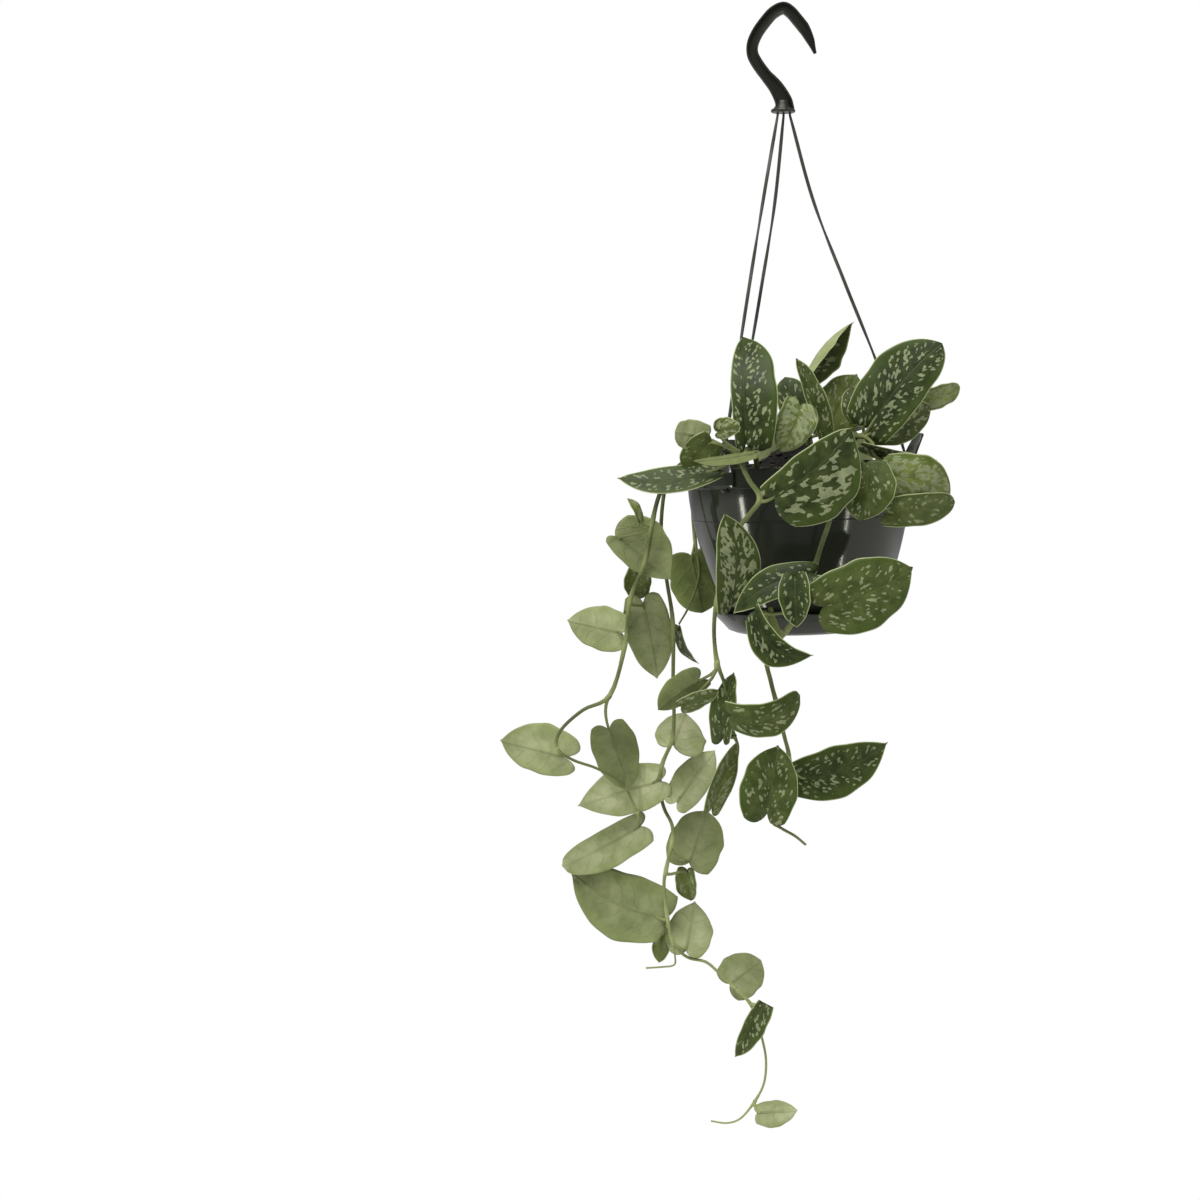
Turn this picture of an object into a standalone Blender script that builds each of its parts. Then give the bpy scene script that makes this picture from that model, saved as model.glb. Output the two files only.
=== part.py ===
"""Satin pothos trailing from a 150 mm hanging pot: a hook with three straps, a pot with three flared ears, a
clip-on saucer, a mound of potting mix and eight leafy stems. Metres, +Z up, zero at the hook's inside top."""
from collections import namedtuple
from math import cos, pi, radians, sin, sqrt

import bmesh
import bpy
from mathutils import Matrix, Vector

MM = 0.001
GAP = 0.3 * MM

# Hook and flange
HOOK_DEPTH = 6.0 * MM
HOOK_WIDTH = 7.4 * MM
HOOK_WEB = 2.2 * MM
HOOK_FOOT_SPREAD = 1.7
HOOK_TIP = 0.25
HOOK_NARROWING = 0.235
HOOK_LINE = (
    (1.4, -60.4), (0.4, -54.5), (-4.4, -46.0), (-10.8, -38.5), (-16.2, -31.2), (-19.3, -25.0), (-19.2, -18.6),
    (-16.2, -11.6), (-11.4, -4.9), (-6.2, 0.8), (0.0, 3.7), (4.6, 1.3), (9.2, -3.9), (13.8, -9.8),
    (17.4, -16.6), (19.0, -20.6), (20.7, -25.2),
)
FLANGE_X = 0.4 * MM
FLANGE_RADIUS = 7.8 * MM
FLANGE_TOP = -59.6 * MM
FLANGE_HEIGHT = 2.8 * MM
SOCKET_DEPTH = 1.8 * MM
SOCKET_CIRCLE = 4.4 * MM
SOCKET_RADIUS = 1.7 * MM

# Pot, measured from the middle of its rim, which leans with the weight of the leaves
POT_LEAN = radians(-2.2)
POT_CENTRE = Vector((11.3, 0.0, -287.0)) * MM
RIM_RADIUS = 75.0 * MM
RIM_BAND = 13.0 * MM
WALL = 1.6 * MM
WALL_TOP_RADIUS = 71.8 * MM
WALL_FOOT_RADIUS = 47.0 * MM
WALL_BULGE = 1.6
POT_HEIGHT = 104.0 * MM
DRAIN_CIRCLE = 30.0 * MM
DRAIN_RADIUS = 4.0 * MM
DRAINS = 4
SIDES = 32
EAR_ANGLES = tuple(radians(a) for a in (-40.0, 108.0, 212.0))
SOCKET_ANGLES = tuple(radians(a) for a in (-52.0, 83.0, 176.0))
EAR_HOLE_CIRCLE = 74.3 * MM
EAR_HOLE_RADIUS = 1.7 * MM
EAR_HEIGHT = 16.5 * MM
EAR_FLARE = 9.0 * MM
EAR_CURVE = 1.4
EAR_HALF_WIDTH = 10.0 * MM
EAR_BLOCK_HALF_WIDTH = 5.0 * MM
EAR_INNER_RADIUS = 71.0 * MM
EAR_OUTER_RADIUS = 77.4 * MM
EAR_THICK = 1.5 * MM

# Saucer
SAUCER_RIM_RADIUS = 58.0 * MM
SAUCER_FOOT_RADIUS = 43.0 * MM
SAUCER_TOP = -93.5 * MM
SAUCER_WALL = 1.5 * MM

# Potting mix
SOIL_EDGE = -9.0 * MM
SOIL_CROWN = 14.0 * MM
MOUND_STEEPNESS = 5.0

# Straps of the hanger
STRAP_WIDTH = 2.2 * MM
STRAP_THICK = 1.5 * MM
STRAP_STATIONS = 16
STRAP_BOWS = (1.5 * MM, -1.1 * MM, 0.0)
STRAP_SWINGS = (0.0, -3.0 * MM, -3.2 * MM)
STRAP_TURNS = 1.5
BARB_RADIUS = 1.7 * MM
BARB_HEIGHT = 2.4 * MM

# Blades and stems
BLADE = 0.75 * MM
ROWS = (0.0, 0.22, 0.5, 0.8, 1.0)
COLUMNS = (-1.0, -0.5, 0.0, 0.5, 1.0)
PETIOLE_RADIUS = 0.95 * MM
SHOOT_RADIUS = 0.6 * MM
ROOT_DEPTH = 12.0 * MM
ROOT_CLEARANCE = 0.6 * MM
COLLAR_HEIGHT = 2.0 * MM

# The plant is laid out on sight lines of a front view, in steps of 0.65 mm at the hook's distance.
# Each place is a column, a row and its depth in millimetres behind the hook, less than zero towards the eye.
VIEW_DISTANCE = 1600.0 * MM
VIEW_STEPS = VIEW_DISTANCE / (0.65 * MM)
VIEW_MIDDLE = (177.0, 600.0)
VIEW_DOWN = radians(4.2)
VIEW_LEFT = radians(3.9)
HOOK_PLACE = (360.0, 14.0)
SOIL_ROW = 454.0

Leaf = namedtuple("Leaf", "base tip width at roll arch fold bow lobe skew taper",
                  defaults=(0, 0, 0.1, 0.12, 0, 0.1, 0, 0.62))
Stem = namedtuple("Stem", "name radius root route leaves shoots", defaults=((),))


def sight(column, row):
    """Direction of the sight line through a place of the front view."""
    ahead = Vector((-sin(VIEW_LEFT) * cos(VIEW_DOWN), cos(VIEW_LEFT) * cos(VIEW_DOWN), -sin(VIEW_DOWN)))
    right = Vector((cos(VIEW_LEFT), sin(VIEW_LEFT), 0.0))
    up = right.cross(ahead)
    return ahead * VIEW_STEPS + right * (column - VIEW_MIDDLE[0]) + up * (VIEW_MIDDLE[1] - row)


def eye():
    line = sight(*HOOK_PLACE)
    return -line * (VIEW_DISTANCE / line.y)


def place(column, row, depth):
    line = sight(column, row)
    start = eye()
    return start + line * ((depth * MM - start.y) / line.y)


# A stem is its name, its radius in millimetres, the column and depth of its root, its route and its leaves.
# A leaf is where its stalk meets the blade, its tip, its width in millimetres, the number of the route's
# point that it grows from, how far it is rolled about its midrib from facing the eye, its arch, fold and
# sideways bow, how far its foot is notched, how much wider its one half is than the other, and how soon it
# narrows to its ends.
# A shoot is a bare side root: its places, from one on the stem.
STEMS = (
    Stem("stem_front_left", 1.7, (336, -48), (
        (330, 450, -62), (321, 452, -76), (319, 463, -85), (326, 480, -88), (337, 498, -88),
        (326, 515, -84), (315, 530, -80), (303, 565, -72), (294, 600, -66), (291, 630, -66), (294, 662, -66),
        (302, 686, -64), (304, 715, -62), (311, 735, -60), (315, 752, -58), (306, 790, -58),
    ), (
        Leaf((323, 444, -78), (320, 337, -44), 29, 0, -8, 0.2, -0.05, -0.02, 0.08, -0.45, 0.5),
        Leaf((284, 437, -72), (252, 432, -94), 18.5, 1, 180, 0.1, 0.1, 0, 0.1, 0, 0.42),
        Leaf((294, 432, -82), (318, 427, -92), 13.5, 1, 0, 0.15, -0.1, 0, 0.1, 0.25, 0.5),
        Leaf((330, 453, -92), (270, 461, -86), 9, 1, 225, 0.02, 0.7),
        Leaf((292, 469, -78), (194, 478, -72), 22, 1, 40, -0.02, 0.05, 0.08),
        Leaf((288, 441, -76), (259, 467, -70), 24, 1, -25, 0.08, 0.1),
        Leaf((352, 495, -96), (429, 427, -86), 45, 4, 5, 0.08, -0.05, -0.06, 0.1, -0.4),
        Leaf((309, 604, -78), (301, 513, -86), 30, 8, 22, 0.05, 0.1, -0.08),
        Leaf((275, 681, -58), (235, 710, -44), 20, 10, 165, 0.1, 0.35, 0, 0.15, 0.05, 0.5),
        Leaf((300, 738, -68), (311, 672, -58), 24, 13, -50, 0.1, 0.2, -0.06),
        Leaf((289, 808, -62), (314, 741, -62), 17, 15, 35, 0.03, 0.15, 0.02, 0.1, 0, 0.7),
        Leaf((258, 707, -52), (296, 690, -66), 12, 10, 20, 0.1, 0.1, 0.03, 0.04, 0, 0.45),
    )),
    Stem("stem_front_right", 1.7, (405, -46), (
        (408, 450, -62), (411, 460, -84), (409, 500, -86), (406, 522, -84),
        (398, 546, -80), (391, 570, -76), (384, 600, -74), (364, 630, -72), (344, 655, -70), (348, 682, -70),
        (354, 705, -69), (361, 735, -68), (366, 760, -67), (360, 795, -66), (350, 820, -67), (358, 828, -68),
        (372, 836, -69), (383, 845, -70),
    ), (
        Leaf((390, 575, -86), (310, 614, -86), 22, 5, 22, 0.1, 0.05, -0.08, 0.1, 0, 0.7),
        Leaf((372, 577, -92), (374, 628, -98), 20, 5, 10, 0.08, 0.25),
        Leaf((332, 611, -98), (391, 655, -92), 20, 6, -10, 0.05, 0.15, -0.25, 0.04, -0.25, 0.7),
        Leaf((345, 612, -86), (361, 648, -84), 10, 7, 180, 0.05, 0.1, 0.1),
        Leaf((400, 607, -92), (490, 567, -82), 44, 5, 5, 0.08, -0.05, -0.05),
        Leaf((308, 714, -82), (377, 695, -80), 22, 10, 10, 0.12, -0.05, -0.19, 0.06, -0.05, 0.28),
        Leaf((344, 814, -78), (355, 745, -76), 36, 14, 0, 0.06, 0.2, 0, 0.14, 0.08),
        Leaf((374, 779, -64), (465, 742, -66), 33, 12, 10, 0.05, 0.1, -0.08, 0.1, 0, 0.8),
    )),
    Stem("stem_left_outer", 1.5, (304, -22), (
        (290, 450, -24), (264, 460, -32), (247, 478, -36), (236, 496, -38),
        (229, 524, -38), (222, 562, -36), (207, 600, -35), (202, 645, -35), (187, 695, -35), (160, 710, -35),
        (138, 730, -36), (134, 748, -36), (150, 760, -33), (175, 769, -26), (200, 785, -14), (214, 812, -8),
    ), (
        Leaf((192, 536, -32), (248, 580, -36), 34, 4, 180, 0.08, -0.1, 0, 0.08, -0.4, 0.8),
        Leaf((216, 522, -40), (204, 498, -42), 11, 4, 60, 0.1, 0.3),
        Leaf((216, 569, -8), (213, 600, 2), 18, 5, 0, 0.1, 0.2),
        Leaf((199, 633, -24), (144, 620, -12), 29, 7, 180, 0.1, 0.1),
        Leaf((220, 602, -22), (234, 679, -8), 31, 6, 185, 0.08, 0.1),
        Leaf((186, 730, -26), (206, 792, -14), 30, 8, 180, 0.1, 0.2),
        Leaf((141, 757, -26), (77, 740, -16), 33, 11, 180, 0.1, 0.05, 0, 0.2, 0.1),
        Leaf((218, 826, -2), (139, 866, 4), 27, 15, 200, 0.06, 0.2, 0, 0.08, -0.1, 0.32),
    )),
    Stem("stem_left_inner", 1.3, (316, 0), (
        (298, 447, -4), (270, 456, -10), (250, 472, -14), (241, 494, -16),
        (238, 540, -16), (244, 582, -18), (250, 625, -18), (250, 690, -18), (251, 715, -19), (249, 740, -21),
        (239, 765, -21), (237, 788, 2), (241, 808, 0), (249, 825, -8), (249, 842, -14), (243, 870, -18),
        (241, 886, -18), (244, 915, -18), (250, 942, -16), (264, 957, -6), (283, 962, -8), (297, 974, -14),
        (312, 988, -16), (326, 1002, -16), (334, 1020, -12), (339, 1038, -16), (343, 1060, -18),
        (341, 1083, -19), (332, 1101, -20), (318, 1118, -20), (304, 1123, -20), (288, 1121, -20),
    ), (
        Leaf((257, 628, -10), (276, 664, -4), 16, 6, 70, 0.1, 0.3),
        Leaf((250, 745, -14), (262, 712, 18), 34, 9, 180, 0.06, 0.1, 0, 0.12, 0.2),
        Leaf((237, 781, -12), (154, 806, -4), 33, 10, 175, 0.06, 0.05, 0, 0.1, 0, 0.85),
        Leaf((254, 802, -12), (292, 750, -2), 24, 11, 185, 0.06, 0.1),
        Leaf((266, 863, -10), (284, 811, 2), 36, 14, 180, 0.08, 0.15, 0, 0.1, 0, 0.45),
        Leaf((264, 870, -2), (268, 901, 4), 16, 15, 30, 0.1, 0.3),
        Leaf((242, 918, -8), (148, 873, 8), 45, 17, 180, 0.06, -0.05, -0.07, 0.05),
        Leaf((263, 951, -8), (272, 901, 4), 31, 18, 180, 0.08, 0.1, 0, 0.1, 0, 0.8),
        Leaf((241, 932, 2), (236, 963, 4), 12.5, 17, 10, 0.05, 0.2),
        Leaf((307, 984, -8), (338, 960, 8), 30, 22, 180, 0.08, 0.05, 0, 0.12, 0, 0.45),
        Leaf((340, 1002, -22), (312, 1057, -28), 16, 23, 20, 0.06, 0.15, 0, 0, 0.45, 0.55),
        Leaf((334, 1113, -23), (375, 1110, -26), 17.5, 28, 180, 0.06, 0.1, 0, 0.06, 0.15, 0.75),
    ), (
        ((250, 942, -16), (252, 956, -15), (251, 965, -14), (238, 967, -12), (223, 968, -10)),
    )),
    Stem("stem_back_left", 1.3, (322, 30), (
        (304, 447, 34), (282, 458, 42), (270, 500, 46), (272, 540, 46), (276, 575, 42), (266, 606, 30),
        (256, 624, 16),
    ), (
        Leaf((268, 555, 44), (279, 613, 40), 35, 3, 185, 0.05, 0.05, 0, 0.08, 0, 0.4),
    )),
    Stem("stem_crown_middle", 1.8, (385, -6), (
        (388, 425, -10), (386, 405, -8), (382, 388, -6),
    ), (
        Leaf((377, 406, -40), (356, 452, -60), 25, 0, 0, 0.15, 0.1, 0.06, 0.1, 0, 0.45),
        Leaf((401, 438, -28), (373, 358, -24), 17, 0, 40, 0.04, 0.5, 0, 0.04, 0, 0.5),
        Leaf((383, 376, 2), (431, 322, 6), 23, 2, -120, 0.11, -1.2, 0, 0.04, 0, 0.75),
        Leaf((404, 430, 8), (434, 374, 14), 34, 0, 0, 0.08, 0.1),
        Leaf((374, 414, 6), (362, 377, 12), 22, 0, 10, 0.08, 0.1, 0, 0.1, 0, 0.5),
    )),
    Stem("stem_crown_right", 1.8, (425, -24), (
        (430, 442, -32), (438, 436, -42), (449, 443, -54), (456, 460, -67),
    ), (
        Leaf((449, 424, -48), (519, 343, -40), 40, 1, -8, 0.06, -0.05, 0.04, 0.1, 0.1, 0.42),
        Leaf((438, 419, -28), (428, 387, -24), 20, 1, 0, 0.05, 0.1, 0, 0.08, 0, 0.45),
        Leaf((446, 428, -36), (508, 407, -24), 25, 1, 20, 0.1, 0.1, -0.06, 0.1, 0, 0.45),
        Leaf((500, 400, -12), (537, 387, -4), 16.5, 1, 30, 0.1, 0.1, 0, 0.1, 0, 0.4),
        Leaf((443, 463, -80), (437, 521, -82), 34, 3, 12, 0.08, -0.1, 0.1, 0.08, 0, 0.5),
        Leaf((443, 447, -70), (514, 460, -64), 17, 3, 60, 0.06, 0.1),
        Leaf((462, 475, -76), (527, 497, -64), 32, 3, 8, 0.16, -0.15, 0.1, 0.12, 0, 0.42),
        Leaf((463, 513, -74), (532, 502, -62), 21.5, 3, 20, 0.12, 0.05, 0, 0.08, 0.08, 0.36),
    )),
    Stem("stem_back", 1.6, (384, 36), (
        (386, 440, 52), (388, 446, 80), (389, 475, 88), (392, 510, 86), (386, 545, 84), (382, 585, 80),
    ), (
        Leaf((364, 440, 84), (352, 496, 102), 36, 1, 180, 0.15, 0.05),
        Leaf((414, 442, 84), (438, 498, 98), 38, 1, 180, 0.15, 0.05),
        Leaf((372, 480, 94), (340, 532, 94), 40, 2, 180, 0.1, 0.05),
        Leaf((408, 505, 92), (444, 548, 90), 38, 3, 180, 0.1, 0.05),
        Leaf((370, 545, 90), (348, 594, 88), 36, 4, 180, 0.1, 0.05),
        Leaf((396, 575, 86), (414, 612, 82), 28, 5, 180, 0.1, 0.05),
        Leaf((350, 436, 30), (320, 432, 52), 26, 0, 88, 0.1, 0.1),
        Leaf((404, 436, 20), (452, 430, 50), 34, 0, -75, 0.1, 0.1),
        Leaf((374, 432, 64), (362, 436, 106), 30, 0, 80, 0.12, 0.1),
        Leaf((404, 430, 50), (430, 424, 90), 30, 0, -70, 0.12, 0.1),
    )),
)


def clear_scene():
    for item in list(bpy.data.objects):
        bpy.data.objects.remove(item, do_unlink=True)


def finish(name, color, roughness, metallic=0.0):
    material = bpy.data.materials.new(name)
    material.use_nodes = True
    shader = material.node_tree.nodes["Principled BSDF"]
    shader.inputs["Base Color"].default_value = (*color, 1.0)
    shader.inputs["Roughness"].default_value = roughness
    shader.inputs["Metallic"].default_value = metallic
    return material


def solid(name, mesh_builder, material=None):
    """An object from a bmesh, with its normals turned outwards."""
    bmesh.ops.recalc_face_normals(mesh_builder, faces=mesh_builder.faces)
    mesh = bpy.data.meshes.new(name)
    mesh_builder.to_mesh(mesh)
    mesh_builder.free()
    thing = bpy.data.objects.new(name, mesh)
    bpy.context.scene.collection.objects.link(thing)
    if material:
        mesh.materials.append(material)
    return thing


def turned(profile, sides):
    """A turned solid: profile points are radius and height, and the ends lie on the axis."""
    shape = bmesh.new()
    rings = []
    for radius, height in profile:
        if radius < 1e-7:
            rings.append([shape.verts.new((0.0, 0.0, height))] * sides)
        else:
            rings.append([
                shape.verts.new((radius * cos(2 * pi * k / sides), radius * sin(2 * pi * k / sides), height))
                for k in range(sides)
            ])
    for low, high in zip(rings, rings[1:]):
        for k in range(sides):
            corners = (low[k], low[(k + 1) % sides], high[(k + 1) % sides], high[k])
            shape.faces.new(dict.fromkeys(corners))
    return shape


def swept(rings):
    """A closed solid through rings of points that follow one another."""
    shape = bmesh.new()
    loops = [[shape.verts.new(point) for point in ring] for ring in rings]
    sides = len(loops[0])
    for low, high in zip(loops, loops[1:]):
        for k in range(sides):
            shape.faces.new((low[k], low[(k + 1) % sides], high[(k + 1) % sides], high[k]))
    shape.faces.new(loops[0][::-1])
    shape.faces.new(loops[-1])
    return shape


def smooth_route(points, steps):
    """Points on a curve that passes smoothly through the given ones."""
    ends = [points[0] * 2 - points[1], *points, points[-1] * 2 - points[-2]]
    route = []
    for a, b, c, d in zip(ends, ends[1:], ends[2:], ends[3:]):
        for k in range(steps):
            t = k / steps
            route.append(0.5 * (2 * b + (c - a) * t + (2 * a - 5 * b + 4 * c - d) * t ** 2
                                + (3 * b - a - 3 * c + d) * t ** 3))
    route.append(points[-1].copy())
    return route


def directions(route):
    ahead = []
    for k in range(len(route)):
        ahead.append((route[min(k + 1, len(route) - 1)] - route[max(k - 1, 0)]).normalized())
    return ahead


def tube(route, radii, sides):
    """A round solid along a route, its rings carried along without twisting."""
    ahead = directions(route)
    across = ahead[0].orthogonal().normalized()
    rings = []
    for point, direction, radius in zip(route, ahead, radii):
        across = (across - direction * across.dot(direction)).normalized()
        other = direction.cross(across)
        rings.append([
            point + (across * cos(2 * pi * k / sides) + other * sin(2 * pi * k / sides)) * radius
            for k in range(sides)
        ])
    return swept(rings)


def combine(base, operation, tools, solver="EXACT"):
    """Joins tools to the base object, or cuts them from it, and removes them."""
    group = bpy.data.collections.new("tools")
    bpy.context.scene.collection.children.link(group)
    for tool in tools:
        bpy.context.scene.collection.objects.unlink(tool)
        group.objects.link(tool)
    change = base.modifiers.new("combine", "BOOLEAN")
    change.operation = operation
    change.operand_type = "COLLECTION"
    change.collection = group
    change.solver = solver
    bpy.context.view_layer.objects.active = base
    bpy.ops.object.modifier_apply(modifier=change.name)
    for tool in tools:
        bpy.data.objects.remove(tool, do_unlink=True)
    bpy.data.collections.remove(group)


def cylinder(radius, low, high, middle, sides=16):
    shape = turned(((0.0, low), (radius, low), (radius, high), (0.0, high)), sides)
    bmesh.ops.translate(shape, verts=shape.verts, vec=middle)
    return shape


def pot_point(radius, angle, height):
    """A place on the leaning pot: angle from its front, height from its rim."""
    spot = Vector((radius * sin(angle), -radius * cos(angle), height))
    return POT_CENTRE + Matrix.Rotation(POT_LEAN, 3, "Y") @ spot


def lean(thing):
    thing.data.transform(Matrix.Translation(POT_CENTRE) @ Matrix.Rotation(POT_LEAN, 4, "Y"))


def wall_radius(height):
    """Outer radius of the pot's wall, a cone that rounds in towards its foot."""
    fall = (-height - RIM_BAND) / (POT_HEIGHT - RIM_BAND)
    return WALL_TOP_RADIUS + (WALL_FOOT_RADIUS - WALL_TOP_RADIUS) * max(fall, 0.0) ** WALL_BULGE


def make_hook(material):
    """Curved bar of I section, on a round flange with a socket for each strap."""
    line = [Vector((x, 0.0, z)) * MM for x, z in HOOK_LINE]
    ahead = directions(line)
    rings = []
    for k, (point, direction) in enumerate(zip(line, ahead)):
        side = Vector((0.0, 1.0, 0.0)).cross(direction)
        taper = min(1.0, HOOK_TIP + HOOK_NARROWING * (len(line) - 1 - k))
        spread = 1.0 + (HOOK_FOOT_SPREAD - 1.0) * max(0.0, 1.0 - k / 3)
        half, deep, web = HOOK_WIDTH / 2 * taper * spread, HOOK_DEPTH / 2 * taper, HOOK_WEB / 2 * taper
        outline = (
            (-half, -deep), (-half + web, -deep), (-half + web * 1.4, -web), (half - web * 1.4, -web),
            (half - web, -deep), (half, -deep), (half, deep), (half - web, deep), (half - web * 1.4, web),
            (-half + web * 1.4, web), (-half + web, deep), (-half, deep),
        )
        rings.append([point + side * a + Vector((0.0, b, 0.0)) for a, b in outline])
    hook = solid("hook", swept(rings), material)
    foot = FLANGE_TOP - FLANGE_HEIGHT
    flange = turned((
        (0.0, foot), (FLANGE_RADIUS - 0.8 * MM, foot), (FLANGE_RADIUS, foot + 0.8 * MM),
        (FLANGE_RADIUS, FLANGE_TOP - 1.0 * MM), (FLANGE_RADIUS - 1.6 * MM, FLANGE_TOP),
        (5.4 * MM, FLANGE_TOP + 0.8 * MM), (4.2 * MM, FLANGE_TOP + 5.0 * MM), (0.0, FLANGE_TOP + 5.0 * MM),
    ), 20)
    bmesh.ops.translate(flange, verts=flange.verts, vec=(FLANGE_X, 0.0, 0.0))
    combine(hook, "UNION", [solid("flange", flange)])
    sockets = []
    for index in range(len(EAR_ANGLES)):
        top = strap_top(index)
        socket = cylinder(SOCKET_RADIUS, foot - 1.0 * MM, foot + SOCKET_DEPTH, (top.x, top.y, 0.0), 12)
        sockets.append(solid("socket", socket))
    combine(hook, "DIFFERENCE", sockets)
    return hook


def strap_top(index):
    """Where a strap ends in its socket, just under the socket's roof."""
    angle = SOCKET_ANGLES[index]
    roof = FLANGE_TOP - FLANGE_HEIGHT + SOCKET_DEPTH - GAP
    return Vector((FLANGE_X + SOCKET_CIRCLE * sin(angle), -SOCKET_CIRCLE * cos(angle), roof))


def make_strap(index, material):
    """Slightly twisted flat strap from its socket to a barb under the pot's ear."""
    angle = EAR_ANGLES[index]
    top = strap_top(index)
    neck = top - Vector((0.0, 0.0, SOCKET_DEPTH + 1.5 * MM))
    mouth = pot_point(EAR_HOLE_CIRCLE, angle, 1.5 * MM)
    below = pot_point(EAR_HOLE_CIRCLE, angle, -RIM_BAND - 1.2 * MM)
    outward = Vector((sin(angle), -cos(angle), 0.0))
    knots = []
    for share in (0.0, 0.25, 0.5, 0.75, 1.0):
        off = STRAP_BOWS[index] * 4 * share * (1 - share) + STRAP_SWINGS[index] * sin(2 * pi * share)
        knots.append(neck.lerp(mouth, share) + outward * off)
    route = [top] + smooth_route(knots, STRAP_STATIONS // 4) + [below]
    ahead = directions(route)
    rings = []
    for k, (point, direction) in enumerate(zip(route, ahead)):
        turn = 2 * pi * STRAP_TURNS * k / (len(route) - 1)
        flat = direction.cross(Vector((cos(turn), sin(turn), 0.0))).normalized()
        other = direction.cross(flat)
        a, b = flat * STRAP_WIDTH / 2, other * STRAP_THICK / 2
        rings.append([point - a - b, point + a - b, point + a + b, point - a + b])
    strap = solid(f"strap_{index + 1}", swept(rings), material)
    low = -RIM_BAND - GAP - BARB_HEIGHT
    barb = turned((
        (0.0, low), (0.7 * MM, low), (BARB_RADIUS, low + 1.6 * MM), (BARB_RADIUS, low + BARB_HEIGHT),
        (0.0, low + BARB_HEIGHT),
    ), 12)
    bmesh.ops.translate(barb, verts=barb.verts, vec=outward * EAR_HOLE_CIRCLE)
    barb = solid("barb", barb)
    lean(barb)
    combine(strap, "UNION", [barb])
    return strap


def make_ear(angle):
    """Flared tab above the rim, on a block that takes the strap's end."""
    inner, outer = EAR_INNER_RADIUS, EAR_OUTER_RADIUS
    rings = []
    for side in (-1.0, 1.0):
        half = side * EAR_BLOCK_HALF_WIDTH
        rings.append([Vector((half, -r, z)) for r, z in (
            (inner, -2.0 * MM), (inner, -RIM_BAND + 2.4 * MM), (inner + 3 * MM, -RIM_BAND),
            (outer, -RIM_BAND), (outer, -2.0 * MM))])
    block = solid("block", swept(rings))
    rows = []
    root = outer - EAR_THICK
    for k in range(5):
        rise = k / 4
        half = EAR_HALF_WIDTH * (1.0 - 0.35 * rise ** 3)
        lift = -3.0 * MM + (EAR_HEIGHT + 3.0 * MM) * rise
        out = root + EAR_FLARE * rise ** EAR_CURVE
        rows.append([Vector((-half, -out, lift)), Vector((-half, -out - EAR_THICK, lift)),
                     Vector((half, -out - EAR_THICK, lift)), Vector((half, -out, lift))])
    tab = solid("tab", swept(rows))
    hole = cylinder(EAR_HOLE_RADIUS, -RIM_BAND - 5 * MM, 3 * MM, (0.0, -EAR_HOLE_CIRCLE, 0.0), 12)
    turn = Matrix.Rotation(angle, 4, "Z")
    pieces = [block, tab, solid("hole", hole)]
    for piece in pieces:
        piece.data.transform(turn)
    return pieces


def wall_outline():
    """Outer wall from foot to rim band, as radius and height."""
    shares = (0.97, 0.85, 0.7, 0.52, 0.34, 0.16, 0.0)
    heights = [-RIM_BAND - share * (POT_HEIGHT - RIM_BAND) for share in shares]
    return [(wall_radius(height), height) for height in heights]


def inner_outline():
    """Inside of the wall from the rim band down to the floor."""
    inside = [(radius - WALL, height) for radius, height in reversed(wall_outline()[1:])]
    return inside + [(WALL_FOOT_RADIUS - 3.4 * MM, -POT_HEIGHT + WALL)]


def make_pot(material):
    """Moulded shell with a rim band, drain holes and three flared ears."""
    profile = [
        (0.0, -POT_HEIGHT), (WALL_FOOT_RADIUS - 2.2 * MM, -POT_HEIGHT), *wall_outline(),
        (RIM_RADIUS - 0.6 * MM, -RIM_BAND), (RIM_RADIUS, -RIM_BAND + 0.8 * MM), (RIM_RADIUS, -0.8 * MM),
        (RIM_RADIUS - 0.8 * MM, 0.0), (RIM_RADIUS - 2.6 * MM, 0.0), (RIM_RADIUS - 3.4 * MM, -1.6 * MM),
        *inner_outline(), (0.0, -POT_HEIGHT + WALL),
    ]
    pot = solid("pot", turned(profile, SIDES), material)
    blocks, holes = [], []
    for angle in EAR_ANGLES:
        block, tab, hole = make_ear(angle)
        blocks += [block, tab]
        holes.append(hole)
    for k in range(DRAINS):
        turn = 2 * pi * (k + 0.5) / DRAINS
        spot = (DRAIN_CIRCLE * cos(turn), DRAIN_CIRCLE * sin(turn), -POT_HEIGHT)
        holes.append(solid("drain", cylinder(DRAIN_RADIUS, -2 * MM, 4 * MM, spot, 8)))
    combine(pot, "UNION", blocks)
    combine(pot, "DIFFERENCE", holes)
    lean(pot)
    return pot


def make_saucer(material):
    """Shallow dish clipped under the pot, its floor just clear of the pot's."""
    floor = -POT_HEIGHT - GAP
    profile = (
        (0.0, floor - SAUCER_WALL - 2.0 * MM), (SAUCER_FOOT_RADIUS, floor - SAUCER_WALL - 2.0 * MM),
        (SAUCER_FOOT_RADIUS + 6.0 * MM, floor - 1.0 * MM),
        (SAUCER_RIM_RADIUS - 2.5 * MM, SAUCER_TOP - 4.0 * MM),
        (SAUCER_RIM_RADIUS, SAUCER_TOP - 0.6 * MM), (SAUCER_RIM_RADIUS - 0.5 * MM, SAUCER_TOP),
        (SAUCER_RIM_RADIUS - 1.6 * MM, SAUCER_TOP),
        (SAUCER_RIM_RADIUS - 4.4 * MM, SAUCER_TOP - 4.0 * MM),
        (SAUCER_FOOT_RADIUS + 6.4 * MM, floor + 1.0 * MM), (SAUCER_FOOT_RADIUS + 4.0 * MM, floor),
        (0.0, floor),
    )
    saucer = solid("saucer", turned(profile, SIDES), material)
    lean(saucer)
    return saucer


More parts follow.
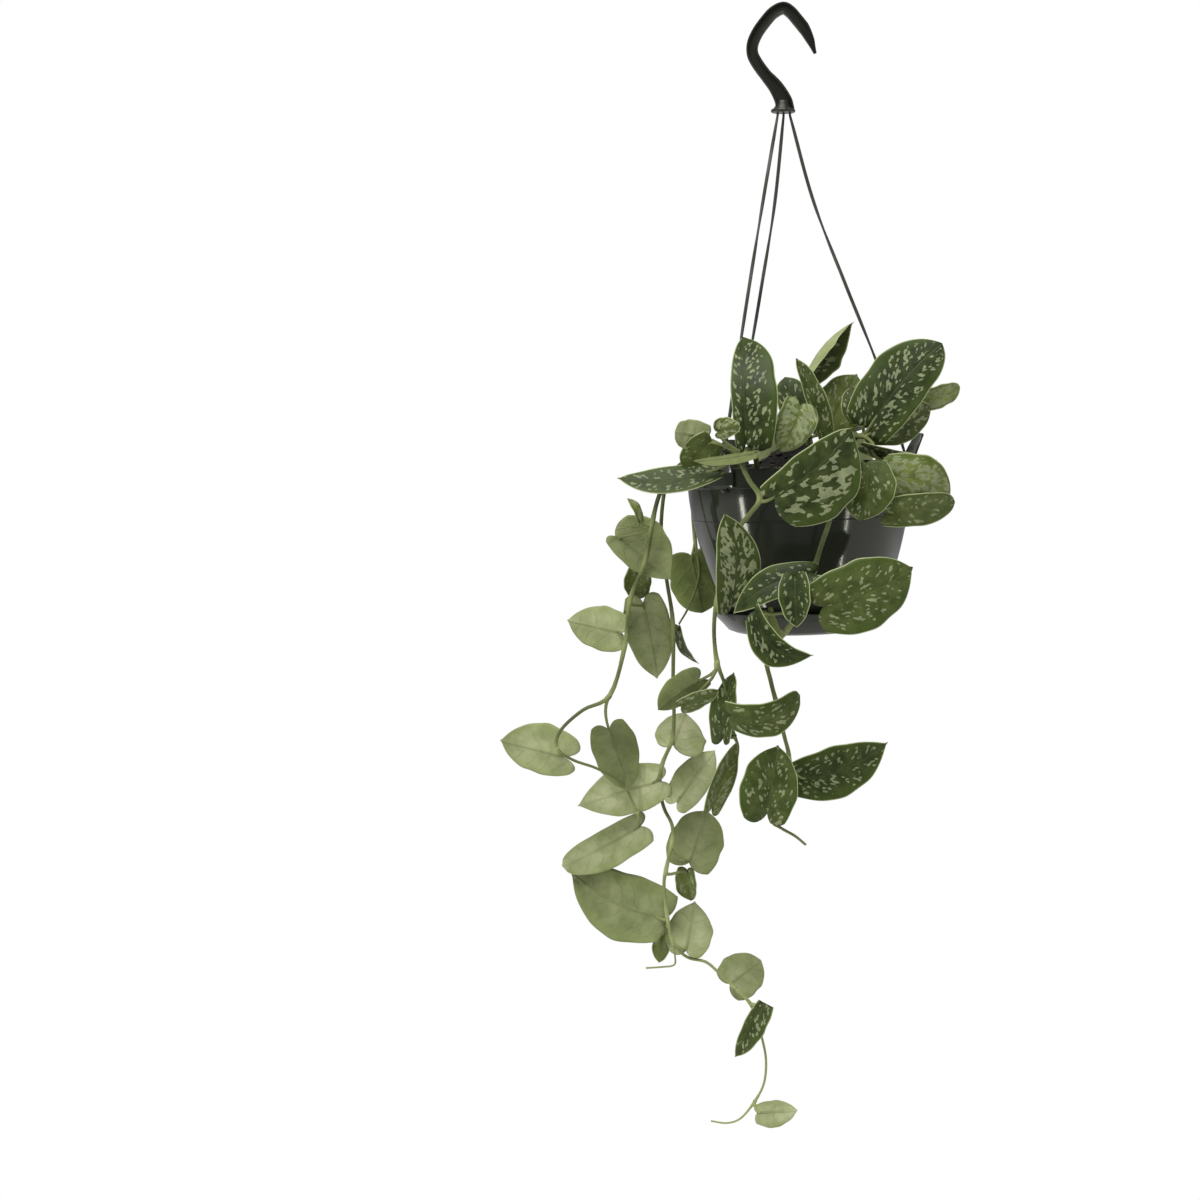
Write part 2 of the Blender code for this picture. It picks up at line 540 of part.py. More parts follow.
def soil_height(radius, angle):
    """Mounded top of the potting mix, a little lumpy, and level near the wall."""
    share = radius / (RIM_RADIUS - WALL)
    lumps = 0.9 * sin(5 * angle + 9 * share) * sin(3 * angle - 7 * share) * sin(pi * min(share * 1.02, 1.0))
    mound = (SOIL_CROWN - SOIL_EDGE) * max(0.0, cos(share * pi / 2)) ** MOUND_STEEPNESS
    return SOIL_EDGE + mound + lumps * MM


def soil_top(x, y):
    """World height of the mound at a place seen from above."""
    spot = Vector((x - POT_CENTRE.x, y, 0.0))
    rise = soil_height(spot.length, mound_angle(spot))
    return POT_CENTRE.z + rise - spot.x * sin(POT_LEAN)


def mound_angle(spot):
    return sin(spot.x / (20 * MM)) + spot.y / (17 * MM)


def make_soil(material):
    """Plug of potting mix that fills the pot and mounds above its rim, with a hole for each stem."""
    inside = [(radius - GAP, height) for radius, height in reversed(inner_outline())]
    foot, floor = inside[0]
    edge = inside[-1][0]
    profile = [(0.0, floor + GAP), (foot - GAP, floor + GAP), *inside[1:], (edge, SOIL_EDGE)]
    profile += [(edge * share, 0.0) for share in (0.84, 0.66, 0.48, 0.3, 0.14)] + [(0.0, 0.0)]
    shape = turned(profile, SIDES)
    for vert in shape.verts:
        if vert.co.z > -1e-6:
            vert.co.z = soil_height(vert.co.xy.length, mound_angle(vert.co))
    soil = solid("soil", shape, material)
    lean(soil)
    holes = []
    for stem in STEMS:
        foot = stem_points(stem)[0]
        spot = Vector((foot.x, foot.y, 0.0))
        hole = cylinder(stem.radius * MM + ROOT_CLEARANCE, foot.z - GAP, foot.z + 40 * MM, spot, 8)
        holes.append(solid("hole", hole))
    combine(soil, "DIFFERENCE", holes)
    return soil


def blade_width(s, taper):
    """Half width of an ovate blade, as a share, from its foot at 0 to its small point at 1."""
    swell = max(sin(pi * (0.2 + 0.8 * s)), 0.0)
    return swell ** (taper + 0.4 * s ** 12)


def blade_frame(leaf):
    """Foot, length, way to the tip, way that the upper face looks, and way to one side."""
    foot, tip = place(*leaf.base), place(*leaf.tip)
    ahead = (tip - foot).normalized()
    to_eye = (eye() - foot.lerp(tip, 0.5)).normalized()
    face = (to_eye - ahead * to_eye.dot(ahead)).normalized()
    face = Matrix.Rotation(radians(leaf.roll), 3, ahead) @ face
    return foot, (tip - foot).length, ahead, face, face.cross(ahead)


def blade_surface(leaf, s, t):
    """A point of the blade's middle surface and the way its upper face looks there."""
    foot, length, ahead, face, side = blade_frame(leaf)
    hump = 4 * s * (1 - s)
    normal = (face - ahead * (leaf.arch * 4 * (1 - 2 * s))).normalized()
    across = leaf.width * MM / 2 * blade_width(s, leaf.taper) * t
    across *= 1 + leaf.skew * (1 if t > 0 else -1)
    back = leaf.lobe * (1 - s) ** 3 * sin(pi * 0.8 * abs(t) ** 0.8)
    fold = leaf.fold * (sqrt(across ** 2 + (1.5 * MM) ** 2) - 1.5 * MM)
    spine = foot + ahead * (length * (s - back)) + face * (length * leaf.arch * hump)
    return spine + side * (across + length * leaf.bow * hump) + normal * fold, normal


def blade_rim(rows):
    """Corners round the edge of a blade's face, from its left side over its foot to its tip."""
    left = [row[0] for row in reversed(rows[:-1])]
    right = [row[-1] for row in rows[1:-1]]
    return left + rows[0][1:] + right + rows[-1]


def make_blade(leaf):
    """Closed thin blade with both faces split into triangles alike."""
    shape = bmesh.new()
    faces = []
    for side in (0.5, -0.5):
        rows = []
        for s in ROWS[:-1]:
            row = []
            for t in COLUMNS:
                point, normal = blade_surface(leaf, s, t)
                row.append(shape.verts.new(point + normal * BLADE * side))
            rows.append(row)
        point, normal = blade_surface(leaf, 1.0, 0.0)
        rows.append([shape.verts.new(point + normal * BLADE * side)])
        faces.append(rows)
    for rows in faces:
        for low, high in zip(rows[:-1], rows[1:-1]):
            for k in range(len(COLUMNS) - 1):
                if k < 2:
                    triangles = ((low[k], low[k + 1], high[k]), (low[k + 1], high[k + 1], high[k]))
                else:
                    triangles = ((low[k], low[k + 1], high[k + 1]), (low[k], high[k + 1], high[k]))
                for corners in triangles:
                    shape.faces.new(corners)
        for k in range(len(COLUMNS) - 1):
            shape.faces.new((rows[-2][k], rows[-2][k + 1], rows[-1][0]))
    rim_up, rim_low = (blade_rim(rows) for rows in faces)
    for k in range(len(rim_up)):
        after = (k + 1) % len(rim_up)
        shape.faces.new((rim_up[k], rim_up[after], rim_low[after]))
        shape.faces.new((rim_up[k], rim_low[after], rim_low[k]))
    return solid("blade", shape)


def petiole_route(leaf, start, heading, steps=2):
    """Leaf stalk that leaves the stem along it and runs into the blade's midrib."""
    foot, tip = place(*leaf.base), place(*leaf.tip)
    ahead = (tip - foot).normalized()
    inside, _ = blade_surface(leaf, 0.09, 0.0)
    reach = (inside - start).length
    lead = start + heading * reach * 0.35
    trail = inside - ahead * reach * 0.25
    route = []
    for k in range(steps + 1):
        t = k / steps
        route.append(start * (1 - t) ** 3 + lead * 3 * t * (1 - t) ** 2 + trail * 3 * t ** 2 * (1 - t)
                     + inside * t ** 3)
    return route


def stem_points(stem):
    """A stem's route: upright out of the potting mix, and on through its own points."""
    column, depth = stem.root
    spot = place(column, SOIL_ROW, depth)
    top = soil_top(spot.x, spot.y)
    foot = Vector((spot.x, spot.y, top - ROOT_DEPTH))
    collar = Vector((spot.x, spot.y, top + COLLAR_HEIGHT))
    return [foot, collar] + [place(*point) for point in stem.route]


def make_stem(stem, material):
    """Stem, leaf stalks and blades grown together as one solid."""
    route = stem_points(stem)
    ahead = directions(route)
    radii = [stem.radius * MM * (1.0 - 0.55 * (k / (len(route) - 1)) ** 2) for k in range(len(route))]
    body = solid(stem.name, tube(route, radii, 5), material)
    parts = []
    for leaf in stem.leaves:
        joint = leaf.at + 2
        stalk = petiole_route(leaf, route[joint], ahead[joint])
        parts.append(solid("stalk", tube(stalk, [PETIOLE_RADIUS] * len(stalk), 4)))
        parts.append(make_blade(leaf))
    for shoot in stem.shoots:
        points = [place(*point) for point in shoot]
        parts.append(solid("shoot", tube(points, [SHOOT_RADIUS] * len(points), 4)))
    combine(body, "UNION", parts)
    return body


def round_shading(thing):
    thing.data.shade_smooth()
    thing.data.set_sharp_from_angle(angle=radians(35.0))


def build():
    clear_scene()
    plastic = finish("charcoal_plastic", (0.028, 0.030, 0.026), 0.32)
    strap_plastic = finish("strap_plastic", (0.045, 0.048, 0.043), 0.45)
    saucer_plastic = finish("saucer_plastic", (0.030, 0.032, 0.028), 0.35)
    potting_mix = finish("potting_mix", (0.030, 0.020, 0.012), 0.95)
    leaf_green = finish("leaf_green", (0.075, 0.125, 0.035), 0.45)
    made = [make_hook(plastic)]
    made += [make_strap(index, strap_plastic) for index in range(len(EAR_ANGLES))]
    made += [make_pot(plastic), make_saucer(saucer_plastic), make_soil(potting_mix)]
    made += [make_stem(stem, leaf_green) for stem in STEMS]
    for thing in made:
        round_shading(thing)
    return made


if __name__ == "__main__":
    build()
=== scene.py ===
"""Satin pothos in its charcoal hanging pot: the finished look, piece by piece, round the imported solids."""
from collections import namedtuple
from math import cos, exp, pi, radians, sin, sqrt
from random import Random

import bmesh
import bpy
from mathutils import Euler, Matrix, Vector, noise


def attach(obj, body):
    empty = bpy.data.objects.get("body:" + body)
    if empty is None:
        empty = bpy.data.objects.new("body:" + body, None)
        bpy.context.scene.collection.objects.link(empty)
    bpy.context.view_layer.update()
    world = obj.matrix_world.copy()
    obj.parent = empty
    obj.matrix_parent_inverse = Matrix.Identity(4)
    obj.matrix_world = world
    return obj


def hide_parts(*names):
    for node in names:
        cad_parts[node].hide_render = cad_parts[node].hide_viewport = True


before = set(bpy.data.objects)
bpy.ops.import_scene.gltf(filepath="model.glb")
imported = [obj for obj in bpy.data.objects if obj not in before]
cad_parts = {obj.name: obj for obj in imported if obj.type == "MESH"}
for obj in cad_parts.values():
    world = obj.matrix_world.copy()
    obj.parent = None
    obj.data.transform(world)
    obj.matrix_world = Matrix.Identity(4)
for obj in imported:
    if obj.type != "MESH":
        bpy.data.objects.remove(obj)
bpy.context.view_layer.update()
bpy.ops.object.select_all(action="DESELECT")


# Pot
# A thin moulded shell of charcoal plastic, with a plain rim band and a wall that rounds in to its foot.
# It leans a little, pulled over by the leaves on one side.
MM = 0.001
POT_LEAN = radians(-2.2)
POT_CENTRE = Vector((11.3, 0.0, -287.0)) * MM
POT_SIDES = 128
RIM_RADIUS = 75.0
RIM_BAND = 13.0
WALL = 1.6
WALL_TOP_RADIUS = 71.8
WALL_FOOT_RADIUS = 47.0
WALL_BULGE = 1.6
POT_HEIGHT = 104.0
WALL_STEPS = 30
WITNESS_LINE = -33.0
WITNESS_REACH = 1.6
WITNESS_RAISE = 0.35
HUB = 1.0


class Signal:
    """A number that varies over a surface. Plus, minus, times and divided by on it add Math nodes."""

    def __init__(self, finish, socket):
        self.finish = finish
        self.socket = socket

    def math(self, operation, *others):
        return self.finish.node("ShaderNodeMath", {"operation": operation}, (self, *others))

    def __add__(self, other):
        return self.math("ADD", other)

    __radd__ = __add__

    def __sub__(self, other):
        return self.math("SUBTRACT", other)

    def __rsub__(self, other):
        return self.finish.node("ShaderNodeMath", {"operation": "SUBTRACT"}, (other, self))

    def __mul__(self, other):
        return self.math("MULTIPLY", other)

    __rmul__ = __mul__

    def __truediv__(self, other):
        return self.math("DIVIDE", other)

    def __abs__(self):
        return self.math("ABSOLUTE")


class Finish:
    """A material on the principled shader, with its steady values set on the shader itself."""

    def __init__(self, name, **steady):
        self.material = bpy.data.materials.new(name)
        self.material.use_nodes = True
        self.tree = self.material.node_tree
        self.shader = self.tree.nodes["Principled BSDF"]
        for label, value in steady.items():
            self.shader.inputs[label.replace("_", " ")].default_value = value

    def node(self, kind, settings, inputs, output=0):
        """Adds a node, sets it up, feeds its sockets by name or in order, and gives back one output."""
        made = self.tree.nodes.new(kind)
        for label, value in settings.items():
            setattr(made, label, value)
        pairs = inputs.items() if isinstance(inputs, dict) else enumerate(inputs)
        for label, value in pairs:
            if isinstance(value, Signal):
                self.tree.links.new(value.socket, made.inputs[label])
            else:
                made.inputs[label].default_value = value
        return Signal(self, made.outputs[output])

    def where(self):
        return self.node("ShaderNodeTexCoord", {}, {}, "Object")

    def grain(self, vector, scale, detail=2.0, rough=0.5):
        return self.node("ShaderNodeTexNoise", {}, {"Vector": vector, "Scale": scale, "Detail": detail,
                                                    "Roughness": rough}, "Fac")

    def step(self, value, low, high):
        """0 below low, 1 above high, and smooth between."""
        return self.node("ShaderNodeMapRange", {"interpolation_type": "SMOOTHSTEP"},
                         (value, low, high, 0.0, 1.0))

    def blend(self, factor, first, second):
        """A colour between two others."""
        return self.node("ShaderNodeMix", {"data_type": "RGBA"}, {0: factor, 6: first, 7: second}, 2)

    def feed(self, **links):
        for label, value in links.items():
            self.tree.links.new(value.socket, self.shader.inputs[label.replace("_", " ")])

    def relief(self, height, depth, strength=1.0):
        """Bump of that depth in metres."""
        bump = self.node("ShaderNodeBump", {}, {"Strength": strength, "Distance": depth, "Height": height})
        self.feed(Normal=bump)


def paint(r, g, b):
    """A colour given as on a screen, from 0 to 255, in the shader's own terms."""
    return tuple(((c / 255 + 0.055) / 1.055) ** 2.4 for c in (r, g, b)) + (1.0,)


def throw(name, profile, sides):
    """Turned piece: a ring is drawn out along a profile of radius and height, and its two ends are closed.

    A profile that ends on the axis does so at the hub's small radius.
    """
    bpy.ops.mesh.primitive_circle_add(vertices=sides, radius=profile[0][0] * MM,
                                      location=(0, 0, profile[0][1] * MM))
    thing = bpy.context.object
    thing.name = name
    bpy.ops.object.transform_apply()
    bpy.ops.object.mode_set(mode="EDIT")
    bpy.ops.mesh.select_all(action="SELECT")
    for (radius, height), (wider, higher) in zip(profile, profile[1:]):
        share = wider / radius
        bpy.ops.mesh.extrude_region_move()
        bpy.ops.transform.resize(value=(share, share, 1.0), center_override=(0, 0, 0))
        bpy.ops.transform.translate(value=(0, 0, (higher - height) * MM))
    bpy.ops.mesh.edge_face_add()
    bpy.ops.mesh.select_all(action="SELECT")
    bpy.ops.mesh.select_non_manifold()
    bpy.ops.mesh.edge_face_add()
    bpy.ops.mesh.select_all(action="SELECT")
    bpy.ops.mesh.normals_make_consistent(inside=False)
    bpy.ops.object.mode_set(mode="OBJECT")
    return thing


def settle(thing, turn=0.0):
    """Turns a piece about the pot's own axis, leans it with the pot and leaves its place in its mesh."""
    lean = Matrix.Translation(POT_CENTRE) @ Matrix.Rotation(POT_LEAN, 4, "Y") @ Matrix.Rotation(turn, 4, "Z")
    thing.data.transform(lean)
    thing.data.update()


def smooth(thing, degrees=35.0):
    bpy.context.view_layer.objects.active = thing
    thing.select_set(True)
    bpy.ops.object.shade_smooth_by_angle(angle=radians(degrees))
    thing.select_set(False)


def wall_radius(height):
    """Radius of the pot's wall at a height, which rounds in faster towards the foot."""
    fall = (-height - RIM_BAND) / (POT_HEIGHT - RIM_BAND)
    return WALL_TOP_RADIUS + (WALL_FOOT_RADIUS - WALL_TOP_RADIUS) * max(fall, 0.0) ** WALL_BULGE


def charcoal(name, shade, gloss):
    """Moulded charcoal plastic, with a faint cloudiness, handling marks and a fine grain."""
    plastic = Finish(name, Specular_IOR_Level=0.5, Specular_Tint=(1.0, 1.0, 0.86, 1.0))
    spot = plastic.where()
    cloud = plastic.grain(spot, 14.0, 4.0, 0.6)
    scuff = plastic.step(plastic.grain(spot, 160.0, 3.0, 0.7), 0.62, 0.74)
    dull = tuple(c * 1.35 for c in shade[:3]) + (1.0,)
    plastic.feed(Base_Color=plastic.blend(cloud * 0.6 + scuff * 0.15, shade, dull),
                 Roughness=cloud * 0.08 + scuff * 0.05 + gloss)
    plastic.relief(plastic.grain(spot, 900.0, 2.0) * 0.5 + plastic.grain(spot, 35.0, 2.0), 0.00008, 0.4)
    return plastic.material


pot_plastic = charcoal("pot_plastic", paint(40, 43, 37), 0.065)
heights = [-RIM_BAND - (POT_HEIGHT - RIM_BAND) * k / WALL_STEPS for k in range(WALL_STEPS)]
wall = [(wall_radius(height), height) for height in heights]
outside = [(HUB, -POT_HEIGHT), (WALL_FOOT_RADIUS - 3.4, -POT_HEIGHT)]
outside += [(WALL_FOOT_RADIUS - 1.6, -POT_HEIGHT + 0.5)]
for radius, height in reversed(wall):
    if abs(height - WITNESS_LINE) < WITNESS_REACH:
        raised = radius + WITNESS_RAISE
        outside += [(radius - 0.1, height - 0.5), (raised, height - 0.2), (raised, height + 0.2)]
    outside.append((radius, height))
outside += [
    (WALL_TOP_RADIUS + 0.4, -RIM_BAND + 0.1), (RIM_RADIUS - 0.6, -RIM_BAND),
    (RIM_RADIUS - 0.2, -RIM_BAND + 0.1), (RIM_RADIUS, -RIM_BAND + 0.3), (RIM_RADIUS + 0.02, -RIM_BAND + 0.8),
    (RIM_RADIUS + 0.02, -1.5), (RIM_RADIUS, -0.9), (RIM_RADIUS - 0.3, -0.3), (RIM_RADIUS - 0.9, 0.0),
    (RIM_RADIUS - 2.3, 0.0), (RIM_RADIUS - 3.0, -0.4), (RIM_RADIUS - 3.4, -1.4),
    (RIM_RADIUS - 3.6, -RIM_BAND),
]
inside = [(radius - WALL, height - 0.4) for radius, height in wall[1:-1:2]]
inside += [(WALL_FOOT_RADIUS - 3.4, -POT_HEIGHT + WALL + 1.0), (WALL_FOOT_RADIUS - 5.0, -POT_HEIGHT + WALL)]
inside += [(HUB, -POT_HEIGHT + WALL)]
pot = throw("pot_shell", outside + inside, POT_SIDES)
settle(pot)
smooth(pot, 40.0)
pot.data.materials.append(pot_plastic)
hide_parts("pot")
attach(pot, "root")


# Ears
# Three flared tabs moulded with the rim. Each stands on a small block that a strap's end runs through.
EAR_ANGLES = tuple(radians(a) for a in (-40.0, 108.0, 212.0))
EAR_FOOT = -RIM_BAND + 1.0
EAR_HEIGHT = 16.5
EAR_FLARE_START = -3.0
EAR_FLARE = 9.0
EAR_CURVE = 1.4
EAR_HALF_WIDTH = 10.0
EAR_TAPER = 0.35
EAR_CORNER_CUT = 0.4
EAR_CORNER_DROP = 1.2
EAR_DISH = 0.9
EAR_THICK = 1.5
EAR_OUTER = 77.4
EAR_BLOCK = (10.0, 5.6, 12.6)
EAR_BLOCK_MIDDLE = -6.6
STRAP_CIRCLE = 74.3


def round_edges(thing, width, segments, degrees=30.0):
    """Rounds, by a width in millimetres, the edges that turn by more than the angle."""
    edge = thing.modifiers.new("edge", "BEVEL")
    edge.width = width * MM
    edge.segments = segments
    edge.limit_method = "ANGLE"
    edge.angle_limit = radians(degrees)
    bpy.context.view_layer.objects.active = thing
    bpy.ops.object.modifier_apply(modifier="edge")


for number, angle in enumerate(EAR_ANGLES):
    bpy.ops.mesh.primitive_grid_add(x_subdivisions=20, y_subdivisions=16, size=1.0)
    ear = bpy.context.object
    ear.name = f"ear_{number + 1}"
    for vert in ear.data.vertices:
        across, rise = vert.co.x * 2.0, vert.co.y + 0.5
        corner = 1.0 - EAR_CORNER_CUT * max(0.0, rise - 0.8) * abs(across)
        half = EAR_HALF_WIDTH * (1.0 - EAR_TAPER * rise ** 3) * corner
        lift = EAR_FOOT + (EAR_HEIGHT - EAR_FOOT) * rise - EAR_CORNER_DROP * across ** 4 * rise
        above = max(0.0, (lift - EAR_FLARE_START) / (EAR_HEIGHT - EAR_FLARE_START))
        out = EAR_OUTER - EAR_THICK / 2 + EAR_FLARE * above ** EAR_CURVE - EAR_DISH * across ** 2
        vert.co = Vector((half * across, -out, lift)) * MM
    both_sides = ear.modifiers.new("thick", "SOLIDIFY")
    both_sides.thickness = EAR_THICK * MM
    both_sides.offset = 0.0
    bpy.ops.object.modifier_apply(modifier="thick")
    round_edges(ear, 0.5, 2)
    bpy.ops.mesh.primitive_cube_add(size=1.0)
    block = bpy.context.object
    block.name = f"ear_block_{number + 1}"
    seat = Matrix.Translation((0, -STRAP_CIRCLE * MM, EAR_BLOCK_MIDDLE * MM))
    block.data.transform(seat @ Matrix.Diagonal([side * MM for side in EAR_BLOCK] + [1.0]))
    round_edges(block, 0.7, 3)
    for piece in (ear, block):
        settle(piece, angle)
        smooth(piece, 40.0)
        piece.data.materials.append(pot_plastic)
        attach(piece, "root")


# Saucer
# A shallow dish of the same plastic, clipped on under the pot, with a dark gap between the two.
SAUCER_RIM = 58.0
SAUCER_FOOT = 43.0
SAUCER_TOP = -93.5
SAUCER_FLOOR = -104.3
SAUCER_UNDER = SAUCER_FLOOR - 3.5

saucer = throw("saucer_dish", [
    (HUB, SAUCER_UNDER), (SAUCER_FOOT - 6.0, SAUCER_UNDER), (SAUCER_FOOT - 0.8, SAUCER_UNDER),
    (SAUCER_FOOT + 1.2, SAUCER_FLOOR - 3.0), (SAUCER_FOOT + 5.6, SAUCER_FLOOR - 1.2),
    (52.6, -100.8), (54.6, -98.8), (55.9, -97.2), (57.0, -95.6),
    (SAUCER_RIM - 0.2, -94.4), (SAUCER_RIM, -93.9), (SAUCER_RIM - 0.4, SAUCER_TOP),
    (SAUCER_RIM - 1.3, SAUCER_TOP), (SAUCER_RIM - 1.8, -94.0), (SAUCER_RIM - 4.4, -97.5),
    (SAUCER_FOOT + 6.4, -103.3), (SAUCER_FOOT + 4.0, SAUCER_FLOOR), (HUB, SAUCER_FLOOR),
], POT_SIDES)
settle(saucer)
smooth(saucer, 40.0)
saucer.data.materials.append(charcoal("saucer_plastic_finish", paint(38, 41, 36), 0.2))
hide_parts("saucer")
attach(saucer, "root")


# Potting mix
# A mound of moist peat, pressed in round the roots, coloured near black: partly the peat's own dark and
# partly painted shade, as it lies in the shadow of the leaves. It fills the pot down to its floor and is
# heaped up above the rim.
SOIL_EDGE = -9.0
SOIL_CROWN = 14.0
MOUND_STEEPNESS = 5.0
SOIL_RADIUS = 69.5
MOUND_RINGS = 48
MOUND_SIDES = 144
LUMP_SIZE = 3.5
LUMP_RISE = 1.1


def soil_height(x, y):
    """Height of the mound over the rim, in millimetres, at a place measured from the pot's axis."""
    radius = sqrt(x * x + y * y)
    share = radius / (RIM_RADIUS - WALL)
    swirl = sin(x / 20) + y / 17
    lumps = 0.9 * sin(5 * swirl + 9 * share) * sin(3 * swirl - 7 * share) * sin(pi * min(share * 1.02, 1.0))
    return SOIL_EDGE + (SOIL_CROWN - SOIL_EDGE) * max(0.0, cos(share * pi / 2)) ** MOUND_STEEPNESS + lumps


peat_and_painted_shade = Finish("potting_mix_painted_shade")
spot = peat_and_painted_shade.where()
grit = peat_and_painted_shade.node("ShaderNodeTexVoronoi", {}, {"Vector": spot, "Scale": 420.0}, "Distance")
patch = peat_and_painted_shade.grain(spot, 60.0, 5.0, 0.7)
# Both colours are near black: the peat's own dark with painted shade on top of it.
peat_and_painted_shade.feed(Base_Color=peat_and_painted_shade.blend(patch, paint(8, 8, 6), paint(26, 22, 16)), Roughness=patch * 0.2 + 0.8)
peat_and_painted_shade.relief(grit + patch, 0.0016)

rings = [(HUB, 0.0)] + [(SOIL_RADIUS * k / MOUND_RINGS, 0.0) for k in range(1, MOUND_RINGS + 1)]
rings += [(SOIL_RADIUS, -14.0), (64.0, -40.0), (46.0, -95.0), (42.0, -101.8), (HUB, -101.8)]
mound = throw("potting_mix", rings, MOUND_SIDES)
for vert in mound.data.vertices:
    x, y, z = vert.co / MM
    if z > -0.01:
        rough = noise.fractal(Vector((x, y, 0.0)) / LUMP_SIZE, 0.9, 2.1, 4) * LUMP_RISE
        vert.co.z = (soil_height(x, y) + rough * min(1.0, (SOIL_RADIUS - sqrt(x * x + y * y)) / 3.0)) * MM
settle(mound)
smooth(mound, 60.0)
mound.data.materials.append(peat_and_painted_shade.material)
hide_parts("soil")
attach(mound, "root")


# Bark crumbs
# Chips of composted bark out of the potting mix. They lie loose on the mound, flat side down and half bedded
# in the peat.
CRUMB_COUNT = 420
CRUMB_MARGIN = 3.0
CRUMB_WIDTH = (1.0, 3.4)
CRUMB_TILT = 0.4
CRUMB_STRETCH = (1.0, 1.9)
CRUMB_FLATNESS = (0.35, 0.7)
CRUMB_RAISE = 0.3
CRUMB_UNEVEN = 0.12


def cast(name, shape):
    """An object of the scene made from a worked shape, with its place left in its mesh."""
    mesh = bpy.data.meshes.new(name)
    shape.to_mesh(mesh)
    shape.free()
    thing = bpy.data.objects.new(name, mesh)
    bpy.context.scene.collection.objects.link(thing)
    return thing


bark = Finish("bark_crumb_finish")
spot = bark.where()
tint = bark.grain(spot, 150.0, 3.0, 0.7)
fibre = bark.grain(spot, 1200.0, 2.0)
bark.feed(Base_Color=bark.blend(bark.step(tint, 0.3, 0.7), paint(18, 15, 11), paint(62, 50, 36)),
          Roughness=fibre * 0.2 + 0.72)
bark.relief(fibre, 0.0004)
draw = Random(11)
shape = bmesh.new()
for _ in range(CRUMB_COUNT):
    radius = (SOIL_RADIUS - CRUMB_MARGIN) * sqrt(draw.random())
    angle = draw.uniform(0.0, 2 * pi)
    size = draw.uniform(*CRUMB_WIDTH)
    tilt = [draw.uniform(-CRUMB_TILT, CRUMB_TILT), draw.uniform(-CRUMB_TILT, CRUMB_TILT)]
    lie = Euler(tilt + [draw.uniform(0.0, 2 * pi)]).to_matrix().to_4x4()
    long = size * draw.uniform(*CRUMB_STRETCH)
    squash = Matrix.Diagonal((long, size, size * draw.uniform(*CRUMB_FLATNESS), 1.0))
    x, y = radius * cos(angle), radius * sin(angle)
    seat = Matrix.Translation(Vector((x, y, soil_height(x, y) + CRUMB_RAISE)))
    form = Matrix.Scale(MM, 4) @ seat @ lie @ squash @ Matrix.Scale(1 / MM, 4)
    crumb = bmesh.ops.create_icosphere(shape, subdivisions=2, radius=0.5 * MM, matrix=form)
    for vert in crumb["verts"]:
        vert.co += noise.noise_vector(vert.co * 900.0) * size * CRUMB_UNEVEN * MM
crumbs = cast("bark_crumbs", shape)
settle(crumbs)
crumbs.data.materials.append(bark.material)
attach(crumbs, "root")


# Leafy stems
# Each stem is one living piece: a jointed green vine, a stalk from each joint, and a heart-shaped blade on
# the stalk. It is rooted in the potting mix, climbs a little way and hangs over the rim.
VIEW_DISTANCE = 1600.0 * MM
VIEW_STEPS = VIEW_DISTANCE / (0.65 * MM)
VIEW_COLUMNS = 1200
VIEW_MIDDLE = (177.0, 600.0)
VIEW_DOWN = radians(4.2)
VIEW_LEFT = radians(3.9)
HOOK_PLACE = (360.0, 14.0)
SOIL_ROW = 454.0
ROOT_DEPTH = 12.0
COLLAR_HEIGHT = 2.0
FIRST_JOINT = 2
ROUTE_STEPS = 5
STEM_SIDES = 10
STALK_SIDES = 8
STALK_STEPS = 8
STALK_RADIUS = 0.95
SHOOT_RADIUS = 0.6
BLADE_THICK = 0.55
BLADE_TAPER = 0.62
BLADE_ROWS = 30
BLADE_COLUMNS = 18
EDGE_RIPPLE = 0.028
FINE_RIPPLE = 0.018
EDGE_WAVE = 0.05
FOLD_ROUNDING = 1.5
VEIN_SPACING = 9.0
VEIN_RISE = 0.16
RIB_GROOVE = 0.35
RIB_HALF_WIDTH = 1.3
VINE, UPPER, UNDER, SHEATH = range(4)

# Places on leaves and stems are given on sight lines of the front view: column, row and depth in millimetres.
Leaf = namedtuple("Leaf", "base tip width at roll arch fold bow lobe skew taper",
                  defaults=(0, 0, 0.1, 0.12, 0, 0.1, 0, BLADE_TAPER))
Stem = namedtuple("Stem", "name radius root route leaves shoots", defaults=((),))


def sight(column, row):
    """The line from the eye through a column and row of the front view."""
    ahead = Vector((-sin(VIEW_LEFT) * cos(VIEW_DOWN), cos(VIEW_LEFT) * cos(VIEW_DOWN), -sin(VIEW_DOWN)))
    right = Vector((cos(VIEW_LEFT), sin(VIEW_LEFT), 0.0))
    up = right.cross(ahead)
    return ahead * VIEW_STEPS + right * (column - VIEW_MIDDLE[0]) + up * (VIEW_MIDDLE[1] - row)


def eye():
    """Where the front view is taken from: VIEW_DISTANCE in front of the hook's seat, on its sight line."""
    line = sight(*HOOK_PLACE)
    return -line * (VIEW_DISTANCE / line.y)


def place(column, row, depth):
    """The point on a sight line at a depth in millimetres."""
    line = sight(column, row)
    return eye() + line * ((depth * MM - eye().y) / line.y)


